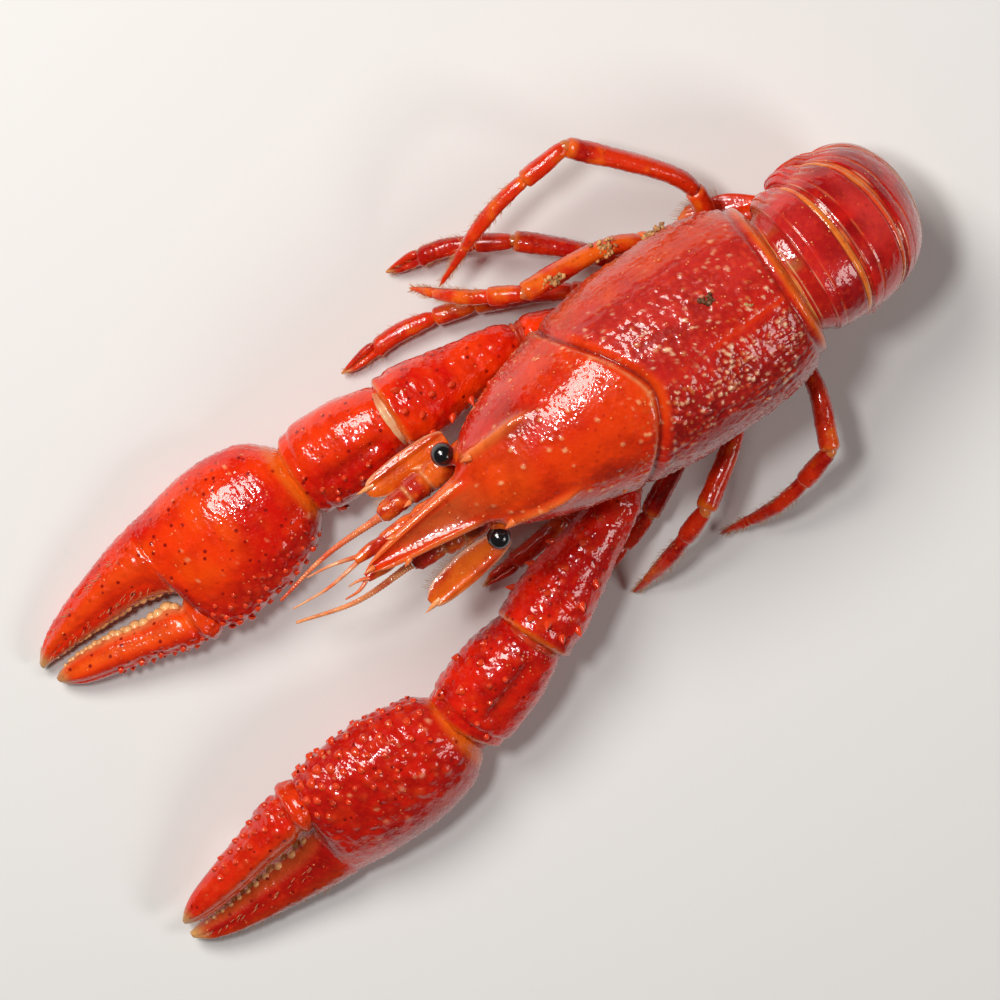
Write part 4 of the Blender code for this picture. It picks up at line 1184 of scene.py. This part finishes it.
for hand, word in ((-1, "right"), (1, "left")):
    scarlet = word == "left"
    roll = math.radians(CLAW_ROLL[word])
    lean = np.array([hand * math.sin(roll), 0, math.cos(roll)])
    root, shoulder, elbow, wrist, tip = (np.array(p) for p in CLAW_JOINTS[word])
    seed = 100 if scarlet else 120
    mesial_col = 0 if hand > 0 else ARM_COLS // 2

    hip = limb(drawn_back(root, shoulder, 0.3), CLAW_HIP, 30, 60, up=lean)
    hip = raised(hip, 0.08 * granules(hip, 0.8, seed)[0])
    claw_piece("hip_shell", [skin(hip, claw_paint(hip, 0.2, seed, word))], "hip", word)

    # The arm widens towards the elbow, with spines along its inner edges and two at its upper end.
    arm = limb(drawn_back(shoulder, elbow, 0.1), ARM, ARM_ROWS, ARM_COLS, up=lean)
    along = way_along(ARM_ROWS, ARM_COLS)
    grain, number = granules(arm, 1.0, seed + 5)
    arm = raised(
        arm,
        0.12 * grain + 0.10 * bell(along - 0.965, 0.018) - 0.12 * bell(along - 0.90, 0.02) + 0.07 * mottle(
            arm, 2.5, seed
        ),
    )
    paint = claw_paint(arm, 0.35 + 0.3 * along, seed + 3, word)
    paint = coats(
        paint,
        (KNOB, 0.6 * grain * (number > 0.6)),
        (GOLD, 0.7 * ease(along, 0.95, 0.985)),
    )
    places = [(r, mesial_col + o) for r, o in zip(range(22, 92, 8), [9, -10] * 5)]
    places += [(86, 24), (78, 28), (84, 16), (66, 24), (52, 25)]
    arm_spines = spread_studs(arm, places, 0.42, 0.85, KNOB, lean=unit(elbow - shoulder) * 0.6, blunt=0.25)
    claw_piece("arm_shell", [skin(arm, paint), arm_spines], "arm", word)

    # The wrist is a thick wedge with a groove down its top. Its inner front corner has the largest spines.
    wrist_run = drawn_back(elbow - unit(elbow - shoulder) * 1.4, wrist, 0.1)
    knuckle = limb(wrist_run, WRIST, WRIST_ROWS, ARM_COLS, up=lean)
    along = way_along(WRIST_ROWS, ARM_COLS)
    turn = turns(ARM_COLS)[None] * np.ones(WRIST_ROWS)[:, None]
    grain, number = granules(knuckle, 1.05, seed + 9)
    inner_share = 0.5 + 0.5 * np.cos(turn) * hand
    groove = bell(turn - math.pi / 2 + 0.25 * hand, 0.16) * ease(along, 0.12, 0.3) * ease(along, 0.85, 0.7)
    height = 0.14 * grain * (0.35 + 0.65 * inner_share) - 0.42 * groove + 0.12 * bell(along - 0.95, 0.02)
    height = height - 0.14 * bell(along - 0.88, 0.02) + 0.08 * mottle(knuckle, 2.5, seed + 4)
    knuckle = raised(knuckle, height)
    paint = claw_paint(knuckle, 0.2 + 0.4 * inner_share, seed + 6, word)
    paint = coats(
        paint,
        (KNOB, 0.6 * grain * (number > 0.6) * inner_share),
        # painted shade in the groove
        (PAINTED_SHADE, 0.4 * groove),
        (GOLD, 0.7 * ease(along, 0.93, 0.98)),
    )
    places = [
        (76, mesial_col), (62, mesial_col + 6), (50, mesial_col - 5), (38, mesial_col + 5), (28, mesial_col)
    ]
    sizes = [0.75, 0.55, 0.5, 0.42, 0.36]
    wrist_spines = spread_studs(
        knuckle, places, sizes, [0.75, 0.7, 0.65, 0.6, 0.55], KNOB, lean=unit(wrist - elbow) * 0.7,
        blunt=0.2,
    )
    places = [
        (r, 24 + int(hand * -o))
        for r, o in ((74, 6), (66, 10), (56, 7), (46, 11), (36, 8), (80, 0), (70, 13))
    ]
    wrist_knobs = spread_studs(knuckle, places, 0.34, 0.38, KNOB, blunt=0.6)
    claw_piece("wrist_shell", [skin(knuckle, paint), wrist_spines, wrist_knobs], "wrist", word)

    # The hand: a broad palm that runs out into the fixed finger. Grid columns start at its inner edge.
    stretch = np.linalg.norm(tip - wrist) / HAND[-1][0]
    heading = unit(tip - wrist)
    side = unit(np.cross(heading, lean))
    upward = np.cross(side, heading)

    def claw_grid(table, places, cols):
        """The grid of the palm or finger, with the angle round it and the way along at each point."""
        turn = turns(cols)[None]
        outer, inner, half = (row[:, None] for row in glide(table, places))
        c, s = power_oval(turn, 2.1)
        x = ((outer + inner) / 2 + (inner - outer) / 2 * c) * hand
        z = half * s * np.where(s > 0, 1, 0.92)
        y = places[:, None] * stretch * np.ones_like(z)
        grid = wrist + x[..., None] * side + y[..., None] * heading + z[..., None] * upward
        return grid, turn * np.ones_like(z), places[:, None] * np.ones_like(z)

    rows = np.concatenate(
        [
            np.linspace(-0.7, 15.6, 96, endpoint=False), np.linspace(15.6, 18.0, 30, endpoint=False),
            np.linspace(18.0, 33.9, 90),
        ]
    )
    palm, turn, at = claw_grid(HAND, rows, PALM_COLS)
    on_palm = ease(at, 17.0, 15.8)
    inner_share = 0.5 + 0.5 * np.cos(turn)
    top = ease(np.sin(turn), -0.1, 0.3)
    coarse, coarse_number = granules(palm, 1.25, seed + 20)
    fine, fine_number = granules(palm, 0.75, seed + 25)
    rough_side = ease(inner_share, 0.45, 0.85) if not scarlet else ease(inner_share, 0.2, 0.6)
    height = (0.24 if scarlet else 0.17) * coarse * rough_side * on_palm * ease(at, 0.8, 2.5)
    height += (
        (0.05 if scarlet else 0.075) * fine * (1 - 0.5 * rough_side)
        + 0.12 * mottle(palm, 4.0, seed + 30) * on_palm
    )
    # Along the fixed finger run a raised middle ridge and a pitted groove on each side of it.
    finger_part = ease(at, 16.5, 19.0)
    ridge_turn = 1.75
    height += finger_part * grooved_ridge(turn - ridge_turn, 0.62, 0.14)
    height -= finger_part * 0.06 * granules(palm, 0.9, seed + 35, 0.4)[0]
    height *= ease(at, 33.8, 32.0) * 0.9 + 0.1
    height[:3] = 0
    palm = raised(palm, height)
    centre_glow = bell(inner_share - 0.38, 0.26) * ease(at, 5.0, 10.0)
    share_red = 0.5 if scarlet else 0.75 - 0.75 * centre_glow
    paint = claw_paint(palm, share_red, seed + 40, word)
    paint = coats(
        paint,
        (PALM_GLOW, 0.65 * centre_glow * (not scarlet) * ease(mottle(palm, 2.0, seed + 44), -0.6, 0.5)),
        (PALM_INNER, 0.7 * ease(inner_share, 0.6, 0.9) * on_palm),
        (KNOB, 0.6 * coarse * rough_side * on_palm * (coarse_number > 0.45)),
        (KNOB_PINK, 0.7 * ease(coarse, 0.65, 0.95) * rough_side * on_palm * (coarse_number > 0.84)),
    )
    # Scattered pale grain tops on the palm: partly pale bumps of the shell and partly painted glints.
    pale_grain_and_glint = (
        ease(fine, 0.55, 0.85) * on_palm * (fine_number > 0.88)
        * ease(mottle(palm, 3.0, seed + 46), -0.5, 0.2)
    )
    paint = coats(
        paint,
        (PALM_GRAIN_GLINT, 0.6 * pale_grain_and_glint),
        (FIXED_FINGER[word], 0.7 * finger_part),
        (FINGER_RIDGE, 0.4 * finger_part * bell(turn - ridge_turn, 0.3)),
        (FINGER_BITE, 0.5 * finger_part * ease(inner_share, 0.84, 0.98)),
        (HORN, 0.85 * ease(at, 32.0, 33.6)),
        (GOLD, 0.75 * ease(at, 1.6, 0.6)),
        # painted shade in the hollow between the fingers
        (PAINTED_SHADE, 0.5 * ease(at, 15.9, 16.6) * ease(at, 17.6, 17.0) * ease(inner_share, 0.4, 0.7)),
    )
    palm_rows = {a: row_near(rows, a) for a in (2.2, 3.6, 5.0, 6.4, 7.8, 9.2, 10.6, 12.0, 13.2, 14.4, 15.4)}
    places, sizes = [], []
    for k, a in enumerate(palm_rows.values()):
        for o, size in ((4, 0.44), (-5, 0.40), (11, 0.34), (-12, 0.32), (18, 0.26)):
            places.append((a + (3 if abs(o) > 10 else 0), o + (2 if k % 2 else -1)))
            sizes.append(size * (1.25 if scarlet else 1.0) * (0.75 + 0.3 * (k / 10)))
    margin_knobs = spread_studs(
        palm, places, np.array(sizes) * 1.15, np.array(sizes) * 0.9, KNOB, lean=heading * 0.6, blunt=0.3
    )
    teeth_at = np.concatenate([np.linspace(18.4, 24.5, 8), np.linspace(25.2, 32.0, 14)])
    places = [(row_near(rows, a), (2 if k % 2 else -2)) for k, a in enumerate(teeth_at)]
    sizes = (
        0.50 * np.interp(teeth_at, [18, 21, 33], [0.8, 1.05, 0.36])
        * np.where(np.arange(22) % 4 == 2, 1.3, 1)
    )
    teeth = spread_studs(palm, places, sizes, sizes * 0.75, TOOTH, blunt=0.9)
    rng = np.random.default_rng(seed)
    tuft_rows = rng.integers(row_near(rows, 19), len(rows) - 8, 110)
    tuft_cols = rng.choice([20, 21, 46, 47, 100, 101, 112], 110) + rng.integers(-2, 3, 110)
    roots = [palm[r, c % PALM_COLS] for r, c in zip(tuft_rows, tuft_cols)]
    normal = outward(palm)
    ways = [normal[r, c % PALM_COLS] + heading * 1.2 for r, c in zip(tuft_rows, tuft_cols)]
    bristles = hairs(roots, ways, rng.uniform(0.4, 0.8, 110), 0.035, CLAW_BRISTLE, seed=seed)
    claw_piece("palm", [skin(palm, paint), margin_knobs, teeth, bristles], "hand", word)

    # The moving finger hinges in the notch at the palm's inner front corner.
    rows = np.concatenate([np.linspace(15.6, 18, 30, endpoint=False), np.linspace(18, 33.5, 104)])
    dactyl, turn, at = claw_grid(FINGER, rows, DACTYL_COLS)
    inner_share = 0.5 + 0.5 * np.cos(turn)
    coarse, coarse_number = granules(dactyl, 1.1, seed + 50)
    height = 0.17 * coarse * ease(inner_share, 0.5, 0.8) * ease(at, 29, 22)
    ridge_turn = 1.35
    height += ease(at, 18.2, 20.6) * grooved_ridge(turn - ridge_turn, 0.6, 0.12)
    height -= 0.05 * granules(dactyl, 0.85, seed + 55, 0.4)[0] * ease(inner_share, 0.8, 0.6)
    height += 0.22 * bell(at - 17.6, 0.35) - 0.2 * bell(at - 18.5, 0.3)
    height *= ease(at, 33.4, 31.6) * 0.9 + 0.1
    height[:3] = 0
    dactyl = raised(dactyl, height)
    paint = claw_paint(dactyl, 0.35, seed + 60, "right")
    paint = coats(
        paint,
        (DACTYL_RED, 0.7 * ease(inner_share, 0.35, 0.8)),
        (KNOB, 0.7 * coarse * ease(inner_share, 0.55, 0.8) * (coarse_number > 0.4)),
        (DACTYL_RIDGE, 0.4 * bell(turn - ridge_turn - 0.5, 0.4)),
        (DACTYL_BITE, 0.65 * ease(inner_share, 0.2, 0.03)),
        (HORN, 0.85 * ease(at, 31.8, 33.2)),
        (ORANGE, 0.8 * ease(at, 18.2, 17.2)),
    )
    outer_middle = DACTYL_COLS // 2
    teeth_at = np.concatenate([np.linspace(18.9, 23.5, 6), np.linspace(24.3, 31.8, 15)])
    places = [(row_near(rows, a), outer_middle + (2 if k % 2 else -2)) for k, a in enumerate(teeth_at)]
    sizes = (
        0.62 * np.interp(teeth_at, [18, 20.5, 33], [0.85, 1.15, 0.35])
        * np.where(np.arange(21) % 4 == 1, 1.3, 1)
    )
    teeth = spread_studs(dactyl, places, sizes, sizes * 0.8, DACTYL_TOOTH, blunt=0.95)
    knob_at = np.linspace(18.6, 27.5, 9)
    places = [
        (row_near(rows, a), o) for k, a in enumerate(knob_at) for o in ((4, -5) if k % 2 else (9, -1))
    ]
    back_knobs = spread_studs(dactyl, places, 0.36, 0.42, KNOB, lean=heading * 0.5, blunt=0.4)
    claw_piece("dactyl", [skin(dactyl, paint), teeth, back_knobs], "finger", word)

    # Folded skin closes each joint, just inside the hard rims on both sides of it.
    folds = []
    for near, joint, far, wide, high in (
        (root, shoulder, elbow, 1.5, 1.6),
        (shoulder, elbow, wrist, 3.3, 3.2),
        (elbow, wrist, tip, 3.4, 3.1),
    ):
        start = joint - unit(joint - near) * (CLAW_GAP + 1.0)
        end = joint + unit(far - joint) * 0.9
        sleeve = limb(
            [start, joint - unit(joint - near) * CLAW_GAP * 0.45, end], [(0, wide, high), (1, wide, high)],
            30, 60, up=lean,
        )
        ripple = 0.12 * np.sin(np.linspace(0, 1, 30) * 2 * math.pi * 5)[:, None]
        sleeve = raised(sleeve, ripple + 0.1 * mottle(sleeve, 1.2, seed + 70))
        fold_tone = FOLD_DARK if scarlet or joint is not elbow else FOLD_PALE
        folds.append(
            skin(sleeve, blend(fold_tone, FOLD_ORANGE, ease(mottle(sleeve, 1.5, seed + 71), -0.2, 0.9)))
        )
    corner = wrist + side * hand * 4.8 + heading * 16.4 * stretch
    pad = limb(
        [corner - heading * 1.6, corner + heading * 1.1], [(0, 1.6, 2.0), (0.5, 2.0, 2.3), (1, 1.6, 1.9)],
        22, 50, up=lean,
    )
    folds.append(skin(pad, blend(ORANGE, SCARLET, ease(mottle(pad, 1.2, seed + 72), -0.3, 0.6))))
    build(f"claw_{word}_joint_skins", folds, joint_finish, [])

# ---------------------------------------------------------------- walking legs
# Eight slim legs, each of two stretches above the knee and three below it, jointed with pale skin. The
# first two pairs end in tiny pincers, the last two in a single point. Short bristles line the lower ones.

ISCHIUM = [(0, 0.8, 0.85), (0.2, 1.05, 1.25), (0.7, 1.1, 1.35), (0.92, 1.1, 1.3), (1, 0.85, 1.0)]
MERUS = [
    (0, 0.7, 0.85), (0.06, 0.92, 1.2), (0.45, 1.0, 1.5), (0.85, 1.1, 1.4), (0.97, 1.1, 1.3), (1, 0.85, 1.0)
]
CARPUS = [(0, 0.6, 0.75), (0.15, 0.85, 1.0), (0.75, 1.0, 1.2), (0.95, 0.98, 1.12), (1, 0.7, 0.8)]
PROPODUS = [
    (0, 0.6, 0.7), (0.06, 0.74, 0.88), (0.5, 0.78, 0.95), (0.9, 0.62, 0.72), (0.98, 0.55, 0.62),
    (1, 0.4, 0.45),
]
DACTYL = [(0, 0.3, 0.35), (0.1, 0.52, 0.55), (0.5, 0.36, 0.38), (0.85, 0.2, 0.2), (1, 0.07, 0.07)]
PINCER_PALM = [
    (0, 0.5, 0.55), (0.08, 0.85, 0.9), (0.4, 1.0, 1.0), (0.6, 0.98, 0.95), (0.64, 0.5, 0.62),
    (0.85, 0.34, 0.4), (1, 0.08, 0.1),
]
PINCER_TIP = [(0, 0.3, 0.4), (0.15, 0.45, 0.55), (0.6, 0.32, 0.38), (1, 0.07, 0.1)]
LEG_WARM = (0.66, 0.026, 0.003)
LEG_DEEP = (0.40, 0.005, 0.002)
KNEE_SKIN = (0.62, 0.16, 0.035)
LEG_BRISTLE = (0.66, 0.32, 0.12)
leg_finish = wet_shell("boiled leg", 0.35, 0.02, pores=0.4, rough=0.28, gleam=0.8, ripple=0.03)


def leg_paint(grid, seed, warm):
    """Leg colouring: deep red with amber patches, more of them where warm is above 0."""
    patch, small = mottle(grid, 3.0, seed), mottle(grid, 0.9, seed + 1)
    tone = blend(LEG_WARM, LEG_DEEP, ease(patch + 0.4 * small + (0.1 - warm), -0.2, 0.7))
    return blend(tone, AMBER, ease(mottle(grid, 2.0, seed + 2) + 0.5 * small + warm, 0.3, 1.1))


for word, side_legs in LEGS.items():
    hand = -1 if word == "right" else 1
    for number, (root, thigh, knee, shin, tip) in enumerate(side_legs, 1):
        seed = 200 + 10 * number + hand
        warm = {("right", 3): 0.75, ("right", 4): 0.3, ("left", 3): 0.2}.get((word, number), 0.0)
        root, thigh, knee, shin, tip = (np.array(p) for p in (root, thigh, knee, shin, tip))
        upper_end = knee - unit(knee - thigh) * 0.12
        upper_route = [root, thigh, upper_end]
        pieces = []
        for stations, low_share, high_share, rows in ((ISCHIUM, 0, 0.275, 20), (MERUS, 0.26, 1, 46)):
            grid = limb(upper_route, stations, np.linspace(low_share, high_share, rows), 34)
            grain, pick = granules(grid, 0.65, seed)
            grid = raised(grid, 0.07 * grain + 0.06 * mottle(grid, 1.6, seed))
            tone = leg_paint(grid, seed, warm)
            rim = way_along(rows, 34)
            tone = coats(
                tone,
                (GOLD, 0.7 * ease(rim, 0.93, 0.98)),
                (KNOB, 0.5 * grain * (pick > 0.6)),
            )
            pieces.append(skin(grid, tone))
        knee_way = unit(shin - knee)
        bend = limb(
            [upper_end - unit(knee - thigh) * 0.5, knee, knee + knee_way * 0.8],
            [(0, 0.7, 0.85), (1, 0.65, 0.8)], 14, 24,
        )
        pieces.append(skin(bend, np.broadcast_to(KNEE_SKIN, bend.shape)))
        build(f"leg_{word}_{number}_thigh", pieces, leg_finish, [f"leg_{word}_{number}_upper"])

        lower_route = [knee - knee_way * 0.1, shin, tip]
        if number < 3:
            parts = ((CARPUS, 0, 0.28, 24), (PINCER_PALM, 0.27, 1, 64))
        else:
            parts = ((CARPUS, 0, 0.28, 24), (PROPODUS, 0.27, 0.76, 44), (DACTYL, 0.74, 1, 34))
        pieces, tufts, ways = [], [], []
        rng = np.random.default_rng(seed)
        for stations, low_share, high_share, rows in parts:
            grid = limb(lower_route, stations, np.linspace(low_share, high_share, rows), 32)
            rim = way_along(rows, 32)
            if stations is PINCER_PALM:
                heading = unit(grid[-1].mean(0) - grid[0].mean(0))
                split = unit(np.cross(heading, (0, 0, 1))) * hand
                grid = grid + split * (0.34 * ease(rim, 0.55, 0.66) * ease(rim, 1.0, 0.85))[..., None]
            grain, pick = granules(grid, 0.55, seed + 3)
            grid = raised(grid, 0.05 * grain + 0.04 * mottle(grid, 1.2, seed))
            tone = leg_paint(grid, seed + 5, warm)
            tone = coats(
                tone,
                (GOLD, 0.6 * ease(rim, 0.93, 0.98)),
                (KNOB, 0.5 * grain * (pick > 0.6)),
            )
            if high_share == 1:
                tone = blend(tone, HORN, 0.8 * ease(rim, 0.86, 0.98))
            pieces.append(skin(grid, tone))
            if stations is not CARPUS:
                normal = outward(grid)
                for _ in range(90):
                    r, c = int(rng.integers(int(rows * 0.15), rows - 3)), int(
                        rng.choice([2, 3, 13, 14, 18, 19, 29, 30])
                    )
                    tufts.append(grid[r, c])
                    ways.append(
                        normal[r, c] + 1.3 * unit(grid[min(r + 3, rows - 1)].mean(0) - grid[r].mean(0))
                    )
        if number < 3:
            points, headings = smooth_way(lower_route, [0.285 + 0.715 * 0.6, 0.80, 1.0])
            start, middle, end = (p - split * 0.42 * w for p, w in zip(points, (1, 1.15, 0.2)))
            pinch = limb([start, middle, end], PINCER_TIP, 34, 26)
            tone = blend(
                leg_paint(pinch, seed + 6, warm), HORN,
                0.8 * ease(way_along(34, 26), 0.8, 0.97),
            )
            pieces.append(skin(pinch, tone))
        pieces.append(hairs(tufts, ways, rng.uniform(0.35, 0.8, len(tufts)), 0.028, LEG_BRISTLE, seed=seed))
        build(f"leg_{word}_{number}_shin", pieces, leg_finish, [f"leg_{word}_{number}_lower"])

# ---------------------------------------------------------------- spice
# Crumbs of the ground spice it was boiled with cling in small damp clumps by the right legs, with one dark
# clump and a few pale crumbs on the carapace.

spice_finish = wet_shell("damp spice", 0.3, 0.05, pores=0.0, rough=0.5, gleam=0.4)
rng = np.random.default_rng(77)
crumbs = []
clumps = [
    ((-10.95, -8.7, -2.4), (0.14, 1.0, 0.8), 46, (0.56, 0.30, 0.11)),
    ((-11.6, -13.4, -6.08), (0.8, 0.9, 0.14), 60, (0.60, 0.33, 0.12)),
    ((-12.2, -19.4, -4.68), (0.5, 0.8, 0.12), 34, (0.58, 0.31, 0.11)),
    ((-4.1, -8.2, 8.72), (0.7, 0.6, 0.06), 30, (0.17, 0.075, 0.03)),
    ((-1.5, -5.0, 8.74), (0.4, 0.4, 0.03), 6, (0.62, 0.36, 0.15)),
]
for centre, reach, count, tone in clumps:
    for _ in range(count):
        size = rng.uniform(0.09, 0.26)
        offset = rng.normal(0, 0.6, 3) * reach
        lump = bead(np.array(centre) + offset, size, rows=9, cols=11, axis=rng.normal(0, 1, 3))
        middle = lump.mean((0, 1))
        lump = (
            middle
            + (lump - middle) * (1 + 0.5 * mottle(lump, 0.22, 4))[..., None] * rng.uniform(0.6, 1.25, 3)
        )
        shade = rng.uniform(0.4, 1.35)
        crumbs.append(skin(lump, np.broadcast_to(np.clip(np.array(tone) * shade, 0, 0.9), lump.shape)))
build("spice_crumbs", crumbs, spice_finish, [])

# ---------------------------------------------------------------- floor, light and camera
# A plain pale table top, one big soft lamp from the animal's right, a smaller one that puts glints
# on the wet shell, and a weak one opposite.


def lamp(name, width, power, place_mm, aim_mm, tint=(1, 1, 1)):
    """A round lamp of that width in metres, pointed from its place at a spot."""
    data = bpy.data.lights.new(name, "AREA")
    data.shape = "DISK"
    data.size = width
    data.energy = power
    data.color = tint
    light = bpy.data.objects.new(name, data)
    light.location = Vector(place_mm) * 0.001
    light.rotation_euler = (Vector(aim_mm) - Vector(place_mm)).to_track_quat("-Z", "Y").to_euler()
    bpy.context.scene.collection.objects.link(light)
    return light


TABLE_HALF = 1.5
table_top = bpy.data.meshes.new("table_top")
corners = [(TABLE_HALF * x, TABLE_HALF * y, 0) for x, y in ((-1, -1), (1, -1), (1, 1), (-1, 1))]
table_top.from_pydata(corners, [], [(0, 1, 2, 3)])
table_finish = bpy.data.materials.new("pale table")
table_finish.use_nodes = True
table_shader = table_finish.node_tree.nodes["Principled BSDF"]
table_shader.inputs["Base Color"].default_value = (0.78, 0.77, 0.75, 1)
table_shader.inputs["Roughness"].default_value = 0.7
table_top.materials.append(table_finish)
floor = bpy.data.objects.new("table_top", table_top)
bpy.context.scene.collection.objects.link(floor)
floor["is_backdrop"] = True

world = bpy.data.worlds.new("studio")
world.use_nodes = True
world.node_tree.nodes["Background"].inputs[0].default_value = (1.0, 0.98, 0.95, 1)
world.node_tree.nodes["Background"].inputs[1].default_value = 0.06
bpy.context.scene.world = world

lamp("big_soft_lamp", 0.20, 1.75, (-330, -60, 380), (0, 0, 10), (1, 0.97, 0.93))
lamp("glint_lamp", 0.06, 0.75, (-170, -60, 420), (0, 0, 10))
lamp("fill_lamp", 0.16, 0.5, (240, 230, 330), (0, 0, 10), (1, 0.98, 0.96))

LEAN = math.radians(12)
DISTANCE, VIEW_WIDTH = 0.6, 0.103
SENSOR = 36
aim = Vector((0.5, 0.0, 12.0)) * 0.001
toward = Vector((-math.sin(LEAN), 0, math.cos(LEAN)))
image_up = Vector((-0.833, 0.555, 0))
side = image_up.cross(toward).normalized()
upward = toward.cross(side)
camera_data = bpy.data.cameras.new("camera")
camera_data.sensor_width = SENSOR
camera_data.lens = SENSOR * DISTANCE / VIEW_WIDTH
camera_data.clip_start = 0.01
camera = bpy.data.objects.new("camera", camera_data)
bpy.context.scene.collection.objects.link(camera)
camera.location = aim + toward * DISTANCE
camera.rotation_euler = Matrix((side, upward, toward)).transposed().to_euler()
bpy.context.scene.camera = camera
bpy.context.scene.view_settings.view_transform = "Standard"

low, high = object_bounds()
